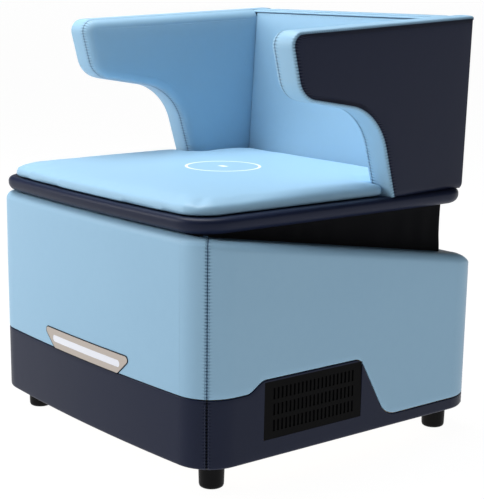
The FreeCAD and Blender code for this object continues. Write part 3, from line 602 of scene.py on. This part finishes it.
def deck_row(inset, height):
    loop = bowed_loop(deck_half_width, deck_front, deck_rear, deck_bow, deck_front_corner, deck_rear_corner,
                      inset, (70, 90, 50))
    row = np.empty((len(loop), 3))
    row[:, :2] = loop[:, :2]
    row[:, 2] = height
    return row


deck_rows = [deck_row(deck_opening_inset, deck_bottom), deck_row(0.024, deck_bottom)]
lower_roll, upper_roll = 0.0155, 0.0090
for angle in np.linspace(0, math.pi / 2, 11):
    deck_rows.append(deck_row(lower_roll * (1 - math.sin(angle)), deck_bottom + lower_roll * (1 - math.cos(angle))))
for angle in np.linspace(0, math.pi / 2, 9):
    deck_rows.append(deck_row(upper_roll * (1 - math.cos(angle)), deck_top - upper_roll * (1 - math.sin(angle))))
for inset in (0.016, 0.030, 0.050, 0.080):
    deck_rows.append(deck_row(inset, deck_top))
settled(lofted("seat_deck", deck_rows), navy_leather, "seat", ["deck_cover"], 0.0015)


# ---- Skirt -----------------------------------------------------------------------------------------------
# A black fabric skirt closes the wedge between the base's sloping top and the deck. It is one strip sewn to a ring,
# stapled to the base and to the deck's board. On the real chair it opens out as the seat tilts; here it is one fixed
# shape.

skirt_half, skirt_front, skirt_rear, skirt_corner = 0.300, -0.304, 0.259, 0.006
skirt_tuck = 0.0025


def skirt_rows(count):
    loop = bowed_loop(skirt_half, skirt_front, skirt_rear, 0.0005, skirt_corner, skirt_corner, 0.0,
                      (70, 90, 80))
    around = np.cumsum(np.hypot(*(loop[:, :2] - np.roll(loop[:, :2], 1, axis=0)).T))
    rows = []
    for share in np.linspace(0, 1, count):
        low = base_top(loop[:, 1]) - skirt_tuck
        height = low + (deck_bottom + skirt_tuck - low) * share
        slack = math.sin(math.pi * share)
        ripple = 0.0009 * np.sin(around * 95.0 + 2.0 * np.sin(around * 23.0)) * slack
        droop = 0.0022 * slack * np.clip((height - low) / 0.03, 0, 1)
        inset = ripple + droop
        rows.append(np.column_stack([loop[:, :2] - loop[:, 2:4] * inset[:, None], height]))
    return rows, around[-1]


skirt_count = 14
rows, skirt_length = skirt_rows(skirt_count)
skirt = lofted("seat_skirt", rows)
fabric = Finish("black_skirt_fabric", roughness=0.85, specular_ior_level=0.1)
place = fabric.place()
across = fabric.add("ShaderNodeTexWave", {"bands_direction": "Z"}, {"Vector": place, "Scale": 420.0})
down = fabric.add("ShaderNodeTexWave", {"bands_direction": "DIAGONAL"}, {"Vector": place, "Scale": 300.0})
weave = across * 0.5 + down * 0.5
fabric.feed("Base Color", fabric.mix(weave * 0.6 + fabric.noise(9.0, 3.0) * 0.4, rgb(8, 9, 12), rgb(15, 16, 20)))
fabric.feed("Normal", fabric.bump(weave, 0.0003, 0.4))
finished(skirt, fabric.material, 0.0008)


# ---- Shell: wings ----------------------------------------------------------------------------------------
# Each wing is a padded plywood side: a light blue inner panel and a navy outer panel joined by a light blue
# strip that runs up from the deck, under the arm, round the nose and back along the top. The two wings open
# slightly towards the front.

wing_outer, wing_wall, hinge_line = 0.3105, 0.060, 0.303
wing_splay = math.tan(math.radians(3.39))
shell_height, nose_top, nose_front = 0.780, 0.758, -0.151
back_foot, back_head, rear_foot, rear_head = 0.241, 0.2595, 0.303, 0.3145
top_rise = (shell_height - nose_top) / (rear_head - nose_front)


def lean(foot, head, z):
    return foot + (head - foot) * (z - deck_top) / (shell_height - deck_top)


def shell_top(y):
    return shell_height - (rear_head - y) * top_rise


wing_corners = [(0.108, deck_top, 0), (0.0641, 0.619, 0.109), (-0.124, 0.650, 0.048), (-0.151, 0.758, 0.022),
                (rear_head, shell_height, 0.004), (rear_head - 0.0002, 0.7755, 0)]
wing_path = rounded_path(wing_corners, 0.004)


def path_directions(path):
    """Unit vectors along a path and to its left, and the distance along it."""
    step = np.gradient(path, axis=0)
    along = step / np.linalg.norm(step, axis=1)[:, None]
    left = np.column_stack([-along[:, 1], along[:, 0]])
    travelled = np.concatenate([[0], np.cumsum(np.linalg.norm(np.diff(path, axis=0), axis=1))])
    return along, left, travelled


wing_along, wing_left, wing_travel = path_directions(wing_path)


def splayed(side, x, y, z):
    """A wing point, given as on a square chair's right wing, opened outwards and put on its side."""
    x, y, z = np.broadcast_arrays(x, y, z)
    opened = x + np.clip(hinge_line - y, 0, None) * wing_splay
    return np.stack([side * opened, y, z], axis=-1)


inner_roll, outer_roll, outer_seam = 0.018, 0.003, 0.0036
strip_start = inner_roll - 0.002
shell_corner = 0.006


def corner_limit(y):
    """How far out the shell reaches at y, inside its rounded rear corners."""
    past = np.clip(y - (rear_head - shell_corner), 0, shell_corner)
    return wing_outer - shell_corner + np.sqrt(shell_corner ** 2 - past ** 2)


def wing_rim(side):
    """The strip round a wing's edge, rolled over on to both faces."""
    section = [(0.0022, strip_start), (0.0008, strip_start + 0.0003), (0.0001, strip_start + 0.0012)]
    for share in np.linspace(0, 1, 14)[1:-1]:
        width = wing_wall - strip_start - 0.0012 - outer_roll
        section.append((-0.0010 * 4 * share * (1 - share), strip_start + 0.0012 + width * share))
    for angle in np.linspace(0, math.pi / 2, 6):
        section.append((outer_roll * (1 - math.cos(angle)), wing_wall - outer_roll * (1 - math.sin(angle))))
    section.append((outer_seam, wing_wall - 0.0014))
    rows, seams = [], []
    for inset, across in section:
        point = wing_path - wing_left * inset
        x = (wing_outer - wing_wall + across) * np.ones(len(point))
        x = x - (wing_outer - corner_limit(point[:, 0])) * across / wing_wall
        rows.append(splayed(side, x, point[:, 0], np.maximum(point[:, 1], deck_top)))
        distance = min(abs(across - strip_start), abs(wing_wall - across) + abs(outer_seam - inset))
        seams.append(np.column_stack([np.full(len(point), distance), wing_travel]))
    return rows, seams


def edge_distance(points, edge):
    """Distance of each (u, v) point from an edge path."""
    gaps = np.linalg.norm(points[:, None, :] - edge[None, :, :], axis=2)
    return gaps.min(axis=1)


def wing_panel(side, x, inset, spine_foot, spine_head, plump, outwards, roll=0.0):
    """A wing's inner or outer panel: rulings from its edge to an upright line at the back, plumped up. With a
    roll it first comes over the wing's edge from the strip."""
    edge = wing_path - wing_left * inset
    stop = next(k for k in range(len(edge)) if k > 60 and edge[k, 0] > lean(spine_foot, spine_head, edge[k, 1]) - 0.001)
    edge = edge[:stop].copy()
    edge[:, 1] = np.maximum(edge[:, 1], deck_top)
    travelled = wing_travel[:stop]
    marks = [0.0, 0.15, 0.34, 0.48, 0.62, travelled[-1] * 0.999]
    spine_z = np.interp(travelled, marks, [deck_top, 0.590, 0.650, 0.690, 0.735, edge[-1, 1]])
    spine = np.column_stack([lean(spine_foot, spine_head, spine_z), spine_z])
    rows, seams = [], []
    if roll:
        start = math.acos(1 - strip_start / roll)
        section = [(0.0022, strip_start - 0.0004), (0.0007, strip_start - 0.0006)]
        section += [(roll * (1 - math.sin(a)), roll * (1 - math.cos(a))) for a in np.linspace(start - 0.07, 0, 10)[:-1]]
        for drawn, across in section:
            point = (wing_path - wing_left * drawn)[:stop]
            rows.append(splayed(side, x + across, point[:, 0], np.maximum(point[:, 1], deck_top)))
            seams.append(np.column_stack([np.full(stop, strip_start - across), travelled]))
    for share in (0, 0.004, 0.010, 0.02, 0.035, 0.055, 0.08, 0.115, 0.16, 0.22, 0.3, 0.4, 0.5, 0.6, 0.7, 0.79, 0.87,
                  0.93, 0.97, 0.99, 1.0):
        point = edge + (spine - edge) * share
        from_edge = edge_distance(point, edge)
        from_spine = np.abs(point[:, 0] - lean(spine_foot, spine_head, point[:, 1]))
        rise = plump * (1 - np.exp(-from_edge / 0.012)) * (1 - np.exp(-from_spine / 0.012))
        if not roll:
            rise = rise - 0.0012 * np.exp(-(from_edge / 0.0012) ** 2)
        above_deck = np.clip((point[:, 1] - deck_top) / 0.010, 0, 1)
        rise = rise - 0.0045 * (1 - above_deck) ** 2
        rows.append(splayed(side, x + outwards * rise, point[:, 0], point[:, 1]))
        seams.append(np.column_stack([from_edge + roll, travelled]))
    return rows, seams


seat_stitches = []
for side, label in ((1, "right"), (-1, "left")):
    rows, seams = wing_rim(side)
    settled(lofted("wing_edge_" + label, rows, seams, closed=False, flip=side < 0), blue_leather, "seat",
            ["shell_rim"] if side > 0 else [], 0.0015)
    rows, seams = wing_panel(side, wing_outer - wing_wall, inner_roll, back_foot + 0.006, back_head + 0.006, 0.0026, -1,
                             inner_roll)
    panel = lofted("wing_inner_panel_" + label, rows, seams, closed=False, flip=side > 0)
    settled(panel, blue_leather, "seat",
            ["wing_inner_cover_" + label, "wing_foam_" + label], 0.0015)
    rows, seams = wing_panel(side, wing_outer, outer_seam, rear_foot - shell_corner, rear_head - shell_corner, 0.0010, 1)
    settled(lofted("wing_outer_panel_" + label, rows, seams, closed=False, flip=side < 0), navy_leather, "seat",
            ["wing_outer_cover_" + label], 0.0015)
    for across in (strip_start + 0.0036, wing_wall - outer_roll - 0.0022):
        point = (wing_path + wing_left * 0.0003)[3:]
        point = point[point[:, 0] < rear_head - 0.008]
        seat_stitches.append(splayed(side, wing_outer - wing_wall + across, point[:, 0], point[:, 1]))


# ---- Shell: back -----------------------------------------------------------------------------------------
# The back leans slightly: a padded light blue panel between the wings, a light blue strip along the top, and
# a navy cover behind that turns round both rear corners to meet the wings' outer panels.

def inner_x(y):
    """Where the right wing's inner face is at y."""
    return wing_outer - wing_wall + (hinge_line - y) * wing_splay


top_roll = 0.004
panel_top = shell_top(back_head) - 0.0045
back_columns = np.concatenate([np.linspace(0, 1, 9) ** 1.6 * 0.03, np.linspace(0.03, 0.5, 26)[1:]])
back_columns = np.concatenate([back_columns, 1 - back_columns[::-1][1:]])
rows, seams = [], []
for share in np.concatenate([[0], np.linspace(0.004, 0.97, 30), [0.98, 0.988, 0.994, 0.998, 1.0]]):
    z = deck_top + (panel_top - deck_top) * share
    face = lean(back_foot, back_head, z)
    half = inner_x(face) - 0.0006
    x = -half + 2 * half * back_columns
    from_side = half - np.abs(x)
    from_top = (1 - share) * (panel_top - deck_top)
    rise = 0.0035 * (1 - np.exp(-from_side / 0.016)) * (1 - math.exp(-from_top / 0.012))
    rise -= 0.0030 * np.exp(-(from_side / 0.0030) ** 2)
    rise -= 0.0012 * math.exp(-(from_top / 0.0012) ** 2)
    rows.append(np.column_stack([x, np.full(len(x), face) - rise, np.full(len(x), z)]))
    seams.append(np.column_stack([np.minimum(from_side, from_top), np.where(from_side < from_top, z, x)]))
back_panel = lofted("back_inner_panel", rows, seams, closed=False)
settled(back_panel, blue_leather, "seat", ["back_inner_cover", "back_foam"], 0.0015)

section = [(back_head + 0.0018, panel_top + 0.0002), (back_head + 0.0002, panel_top + 0.0005)]
for angle in np.linspace(0, math.pi / 2, 8):
    section.append((back_head + top_roll * (1 - math.cos(angle)),
                    shell_top(back_head) - top_roll * (1 - math.sin(angle))))
for share in np.linspace(0, 1, 9)[1:-1]:
    y = back_head + top_roll + (rear_head - outer_roll - back_head - top_roll) * share
    section.append((y, shell_top(y) + 0.0012 * 4 * share * (1 - share)))
for angle in np.linspace(0, math.pi / 2, 6):
    section.append((rear_head - outer_roll * (1 - math.sin(angle)),
                    shell_height - outer_roll * (1 - math.cos(angle))))
section.append((rear_head - 0.0014, shell_height - outer_seam - 0.0005))
rows, seams = [], []
for y, z in section:
    half = inner_x(y) + strip_start - 0.0003
    x = np.linspace(-half, half, 61)
    rows.append(np.column_stack([x, np.full(61, y), np.full(61, z)]))
    gap = min(abs(y - back_head) + abs(z - section[0][1]), abs(y - rear_head) + abs(z - section[-1][1]))
    seams.append(np.column_stack([np.minimum(gap, half - np.abs(x)), np.full(61, 0.0) + x]))
settled(lofted("back_top_edge", rows, seams, closed=False), blue_leather, "seat", [], 0.0015)
for y in (back_head + top_roll + 0.002, rear_head - 0.0055):
    seat_stitches.append([(x, y, shell_top(y) + 0.0004) for x in np.linspace(-0.245, 0.245, 90)])

plan = [(wing_outer, -shell_corner, 1.0, 0.0)]
for angle in np.linspace(0, math.pi / 2, 9):
    plan.append((wing_outer - shell_corner * (1 - math.cos(angle)), -shell_corner * (1 - math.sin(angle)),
                 math.cos(angle), math.sin(angle)))
for x in np.linspace(wing_outer - shell_corner, 0, 32)[1:]:
    plan.append((x, 0.0, 0.0, 1.0))
plan = plan + [(-x, y, -out_x, out_y) for x, y, out_x, out_y in plan[-2::-1]]
plan = np.array(plan)
rows, seams = [], []
top_seam = shell_height - outer_seam - deck_top
for height in [0, 0.0012, 0.003, 0.006, 0.010, 0.0145, *np.linspace(0.02, 0.30, 16), top_seam - 0.001, top_seam]:
    z = deck_top + height
    tucked = 0.0012 if height > 0.3094 else 0.0
    drawn = 0.0045 * max(0.0, 1 - height / 0.010) ** 2 + tucked
    under = 0.0100 * max(0.0, 1 - height / 0.020) ** 2 + tucked
    rear = lean(rear_foot, rear_head, z)
    crown = 0.0012 * (1 - np.exp(-(wing_outer - np.abs(plan[:, 0])) / 0.03))
    y = rear + plan[:, 1] + plan[:, 3] * (crown - under)
    x = plan[:, 0] - plan[:, 2] * drawn
    rows.append(np.column_stack([x, y, np.full(len(x), z)]))
    from_side = np.abs(y - (rear - shell_corner)) + (wing_outer - np.abs(x)) * 4
    seams.append(np.column_stack([np.minimum(from_side, shell_height - outer_seam - z), np.full(len(x), z)]))
settled(lofted("back_outer_panel", rows, seams, closed=False), navy_leather, "seat",
        ["back_outer_cover"], 0.0015)
stitched("shell_stitches", seat_stitches, blue_thread, "seat")


# ---- Seat cushion ----------------------------------------------------------------------------------------
# One flat foam cushion in light blue leather, crowned in the middle and let in round the wings' feet, with a
# white ring printed where the massage unit is.

cushion_half, cushion_front, cushion_rear, cushion_corner = 0.311, -0.329, 0.240, 0.058
cushion_foot, cushion_top = 0.4665, 0.4860
ring_y, ring_radius, ring_line = -0.023, 0.0695, 0.0052


def cushion_outline(inset):
    """Corner points of the cushion's plan, drawn in by inset: bowed front, then in round both wings' feet."""
    loop = bowed_loop(cushion_half, cushion_front, cushion_rear, 0.013, cushion_corner, 0.006, inset,
                      (70, 90, 60))[:, :2]
    front = [tuple(p) for p in loop if p[1] < 0.101 + inset]
    front.sort(key=lambda p: math.atan2(p[0], 0.1 - p[1]))
    reach = [inner_x(0.100) - 0.002 - inset, inner_x(cushion_rear) - 0.002 - inset]
    right_side = [(reach[0] + 0.004, 0.1020 - inset), (reach[0], 0.106 - inset), (reach[1], cushion_rear - inset)]
    return front + right_side + [(-x, y) for x, y in reversed(right_side)]


def cushion_crown(x, y):
    """How far the cushion stands above its edge."""
    side = np.clip(1 - (np.abs(x) / 0.33) ** 4, 0, 1)
    length = np.clip(1 - (np.abs(y + 0.05) / 0.31) ** 4, 0, 1)
    return 0.0045 * side * length


outline_points = cushion_outline(0.0025)
mesh = bpy.data.meshes.new("cushion")
count = len(outline_points)
levels = (cushion_foot, cushion_top)
mesh.from_pydata([(x, y, z) for z in levels for x, y in outline_points], [],
                 [tuple(range(count - 1, -1, -1)), tuple(range(count, 2 * count))]
                 + [(k, (k + 1) % count, count + (k + 1) % count, count + k) for k in range(count)])
cushion = bpy.data.objects.new("seat_cushion", mesh)
scene.collection.objects.link(cushion)


def baked(piece):
    """Applies a piece's modifiers to its mesh."""
    held = bpy.context.evaluated_depsgraph_get()
    mesh = bpy.data.meshes.new_from_object(piece.evaluated_get(held))
    piece.modifiers.clear()
    piece.data = mesh


remesh = cushion.modifiers.new("even", "REMESH")
remesh.mode, remesh.voxel_size = "VOXEL", 0.005
baked(cushion)
smooth = cushion.modifiers.new("ease", "SMOOTH")
smooth.factor, smooth.iterations = 0.5, 8
baked(cushion)
flat = np.array([v.co for v in cushion.data.vertices])
held_group = cushion.vertex_groups.new(name="held")
held_group.add([v.index for v in cushion.data.vertices if v.co.z < cushion_foot + 0.004], 1.0, "REPLACE")
cloth = cushion.modifiers.new("cloth", "CLOTH")
cloth.settings.use_pressure = True
cloth.settings.uniform_pressure_force = 4.0
cloth.settings.vertex_group_mass = "held"
cloth.settings.effector_weights.gravity = 0.0
cloth.settings.quality = 4
for step in range(1, 21):
    scene.frame_set(step)
baked(cushion)
scene.frame_set(1)
blown = np.array([v.co for v in cushion.data.vertices])
moved = blown - flat
length = np.linalg.norm(moved, axis=1)[:, None] + 1e-9
cap = 0.005
moved = moved / length * cap * np.tanh(length / cap)
final = flat + moved
upper = np.clip((flat[:, 2] - cushion_foot) / (cushion_top - cushion_foot), 0, 1)
final[:, 2] += upper * cushion_crown(flat[:, 0], flat[:, 1])
cushion.data.vertices.foreach_set("co", final.astype(np.float32).ravel())
cushion.data.attributes.new("seam", "FLOAT_VECTOR", "POINT").data.foreach_set(
    "vector", np.full(len(final) * 3, FAR))
smoother = cushion.modifiers.new("ease", "SMOOTH")
smoother.factor, smoother.iterations = 0.5, 9


def printed_ring(finish, base):
    """White printing on the leather: a ring and a small centre mark."""
    place = finish.add("ShaderNodeSeparateXYZ", {}, {"Vector": finish.place()}, "X")
    y = Wire(finish, place.socket.node.outputs["Y"]) - ring_y
    radius = (place * place + y * y) ** 0.5
    line = abs(radius - ring_radius) < ring_line / 2
    mark = (abs(place) < 0.010) * (abs(y) < 0.006)
    inked = line.sum("MAXIMUM", line, mark)
    speckle = finish.noise(900.0, 2.0) * 0.12
    return finish.mix(inked * (0.97 - speckle), base, rgb(244, 247, 250))


seat_leather = leather("seat_leather", rgb(145, 185, 213), rgb(153, 192, 218), rgb(60, 90, 118), 0.46, 0.25,
                       printed_ring)
settled(cushion, seat_leather, "seat", ["cushion_cover", "cushion_foam"])


# ---- Feet ------------------------------------------------------------------------------------------------
# Four tapered black plastic feet, each turned with a small bead at the top and a rounded tread edge, bolted
# up into the corner posts.

foot_profile = [(0.0155, 0.0), (0.0182, 0.0005), (0.0203, 0.0020), (0.0213, 0.0045), (0.0216, 0.0075),
                (0.0226, 0.0425), (0.0228, 0.0440), (0.0233, 0.0448), (0.0233, 0.0472), (0.0228, 0.0480)]
foot_sides = 40
foot_points, foot_faces = [], []
for node_x, node_y in ((-0.282, -0.262), (0.282, -0.262), (-0.282, 0.277), (0.282, 0.277)):
    start = len(foot_points)
    for radius, z in foot_profile:
        foot_points.extend((node_x + radius * math.cos(2 * math.pi * k / foot_sides),
                            node_y + radius * math.sin(2 * math.pi * k / foot_sides), z) for k in range(foot_sides))
    rings = len(foot_profile)
    for r in range(rings - 1):
        for k in range(foot_sides):
            m = (k + 1) % foot_sides
            foot_faces.append(tuple(start + i for i in (r * foot_sides + k, r * foot_sides + m,
                                                        (r + 1) * foot_sides + m, (r + 1) * foot_sides + k)))
    foot_faces.append(tuple(start + k for k in range(foot_sides - 1, -1, -1)))
    foot_faces.append(tuple(start + (rings - 1) * foot_sides + k for k in range(foot_sides)))
mesh = bpy.data.meshes.new("feet")
mesh.from_pydata(foot_points, [], foot_faces)
feet = bpy.data.objects.new("turned_feet", mesh)
scene.collection.objects.link(feet)


def moulded(name, colour, rough, grain=700.0):
    """Moulded plastic with a fine spark grain."""
    finish = Finish(name, roughness=rough, specular_ior_level=0.06)
    sparks = finish.noise(grain, 3.0, 0.6)
    clouds = finish.noise(30.0, 2.0)
    finish.feed("Base Color", finish.mix(clouds * 0.6 + sparks * 0.4, colour,
                                         tuple(min(1.0, 1.5 * c + 0.002) for c in colour[:3]) + (1.0,)))
    finish.feed("Roughness", rough - 0.06 + sparks * 0.12)
    finish.feed("Normal", finish.bump(sparks, 0.0001, 0.4))
    return finish.material


foot_plastic = moulded("foot_plastic", rgb(14, 14, 16), 0.45)
settled(feet, foot_plastic, "base", ["feet"])


# ---- Light bar -------------------------------------------------------------------------------------------
# A brushed champagne bezel on the front of the base with a frosted white light strip in it, set in a thin
# black gasket.

gasket_corners = [(0.0, 0.1680, 0), (0.1043, 0.1680, 0.009), (0.1463, 0.2043, 0.007), (-0.1463, 0.2043, 0.007),
                  (-0.1043, 0.1680, 0.009), (0.0, 0.1680, 0)]
gasket_path = rounded_path(gasket_corners, 0.002)
gasket_along, gasket_side, _ = path_directions(gasket_path)
bow_radius = (base_half_width ** 2 + base_bow ** 2) / (2 * base_bow)
gasket_rows = []
for angle in np.linspace(0, 2 * math.pi, 9):
    point = gasket_path + gasket_side * 0.0012 * math.cos(angle)
    face = base_front + bow_radius - np.sqrt(bow_radius ** 2 - point[:, 0] ** 2)
    gasket_rows.append(np.column_stack([point[:, 0], face - 0.0003 + 0.0009 * math.sin(angle), point[:, 1]]))
gasket = lofted("light_bar_gasket", gasket_rows, closed=False, flip=True)
settled(gasket, moulded("gasket_rubber", rgb(20, 24, 32), 0.6), "base", [])

champagne = Finish("champagne_bezel", metallic=0.85, roughness=0.32)
place = champagne.add("ShaderNodeMapping", {}, {"Vector": champagne.place(), "Scale": (4.0, 4.0, 900.0)})
brushing = champagne.noise(3.0, 4.0, 0.7, place)
champagne.feed("Base Color", champagne.mix(brushing, rgb(172, 162, 154), rgb(190, 181, 172)))
champagne.feed("Roughness", 0.26 + brushing * 0.16)
champagne.feed("Normal", champagne.bump(brushing, 0.0001, 0.3))

frosted = Finish("frosted_light_strip", roughness=0.35, specular_ior_level=0.2, emission_strength=0.12)
speck = frosted.noise(500.0, 2.0)
frosted.feed("Base Color", frosted.mix(speck, rgb(222, 224, 230), rgb(214, 217, 226)))
frosted.feed("Emission Color", frosted.mix(speck, rgb(250, 250, 255), rgb(240, 243, 255)))


# ---- Grille shade sheet ------------------------------------------------------------------------------------
# A black sheet behind each ventilation grille, painted shade that hides the plywood behind its slots.

shade_sheet_points = [(s * 0.3342, y, z) for s in (1, -1) for y, z in ((-0.193, 0.0815), (0.029, 0.0815), (0.029, 0.1815),
                                                                 (-0.193, 0.1815))]
mesh = bpy.data.meshes.new("grille_lining")
mesh.from_pydata(shade_sheet_points, [], [(0, 1, 2, 3), (7, 6, 5, 4)])
shade_sheet = bpy.data.objects.new("grille_lining", mesh)
scene.collection.objects.link(shade_sheet)
settled(shade_sheet, fabric.material, "base", [])


# ---- Carried-over parts ----------------------------------------------------------------------------------
# The frame, the fastenings, the hinges, the actuator, the massage unit and the electrics: plywood, zinc and
# bright steel, painted housings, moulded black plastic and a circuit board.

def metal(name, colour, rough, scratch_scale=(40.0, 40.0, 400.0)):
    finish = Finish(name, metallic=1.0, roughness=rough)
    place = finish.add("ShaderNodeMapping", {}, {"Vector": finish.place(), "Scale": scratch_scale})
    scratches = finish.noise(3.0, 4.0, 0.6, place)
    tarnish = finish.noise(45.0, 3.0)
    finish.feed("Base Color", finish.mix(tarnish, colour, tuple(0.8 * c for c in colour[:3]) + (1.0,)))
    finish.feed("Roughness", rough - 0.08 + scratches * 0.16)
    finish.feed("Normal", finish.bump(scratches, 0.0001, 0.3))
    return finish.material


def plywood_finish():
    finish = Finish("birch_plywood", roughness=0.7)
    place = finish.add("ShaderNodeMapping", {}, {"Vector": finish.place(), "Scale": (2.0, 22.0, 22.0)})
    figure = finish.noise(3.0, 5.0, 0.65, place)
    plies = finish.add("ShaderNodeTexWave", {"bands_direction": "Z"}, {"Scale": 60.0, "Distortion": 0.4})
    finish.feed("Base Color", finish.mix(figure * 0.7 + plies * 0.3, rgb(214, 184, 140), rgb(176, 138, 92)))
    finish.feed("Roughness", 0.6 + figure * 0.15)
    finish.feed("Normal", finish.bump(figure, 0.0004, 0.3))
    return finish.material


def board_finish():
    finish = Finish("circuit_board_green", roughness=0.4)
    tracks = finish.cells(180.0, "F1") < 0.25
    finish.feed("Base Color", finish.mix(tracks, rgb(16, 84, 48), rgb(40, 124, 74)))
    finish.feed("Normal", finish.bump(tracks, 0.0001, 0.4))
    return finish.material


slot_finishes = {
    "plywood": plywood_finish(),
    "zinc_steel": metal("zinc_steel", rgb(186, 188, 190), 0.42),
    "bright_steel": metal("bright_steel", rgb(206, 206, 208), 0.24),
    "motor_paint": moulded("motor_paint", rgb(52, 54, 58), 0.38, 400.0),
    "motor_core": metal("laminated_core", rgb(120, 104, 92), 0.5, (900.0, 6.0, 6.0)),
    "black_plastic": moulded("black_plastic", rgb(20, 20, 22), 0.42),
    "grille_black": moulded("grille_black", rgb(3, 3, 4), 0.6),
    "foot_black": foot_plastic,
    "bezel_champagne": champagne.material,
    "diffuser_white": frosted.material,
    "circuit_board": board_finish(),
    "supply_case": metal("supply_case", rgb(196, 198, 200), 0.5, (60.0, 60.0, 60.0)),
    "foam": moulded("open_foam", rgb(214, 206, 178), 0.9, 500.0),
    "leather_light_blue": blue_leather,
    "leather_navy": navy_leather,
    "skirt_fabric": fabric.material,
}
for row in frame["record"]["subparts"]:
    for holder in nodes[row["node"]].material_slots:
        holder.material = slot_finishes[row["material_slot"]]

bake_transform(skirt)
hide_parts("skirt")


# ---- Floor -----------------------------------------------------------------------------------------------
# A plain white floor.

mesh = bpy.data.meshes.new("floor")
mesh.from_pydata([(-60, -60, 0), (60, -60, 0), (60, 60, 0), (-60, 60, 0)], [], [(0, 1, 2, 3)])
floor = bpy.data.objects.new("floor", mesh)
scene.collection.objects.link(floor)
white_floor = Finish("white_floor", roughness=0.9, emission_color=(1.0, 1.0, 1.0, 1.0), emission_strength=0.97)
white_floor.feed("Base Color", white_floor.mix(white_floor.noise(1.5), rgb(64, 64, 64), rgb(60, 60, 60)))
mesh.materials.append(white_floor.material)
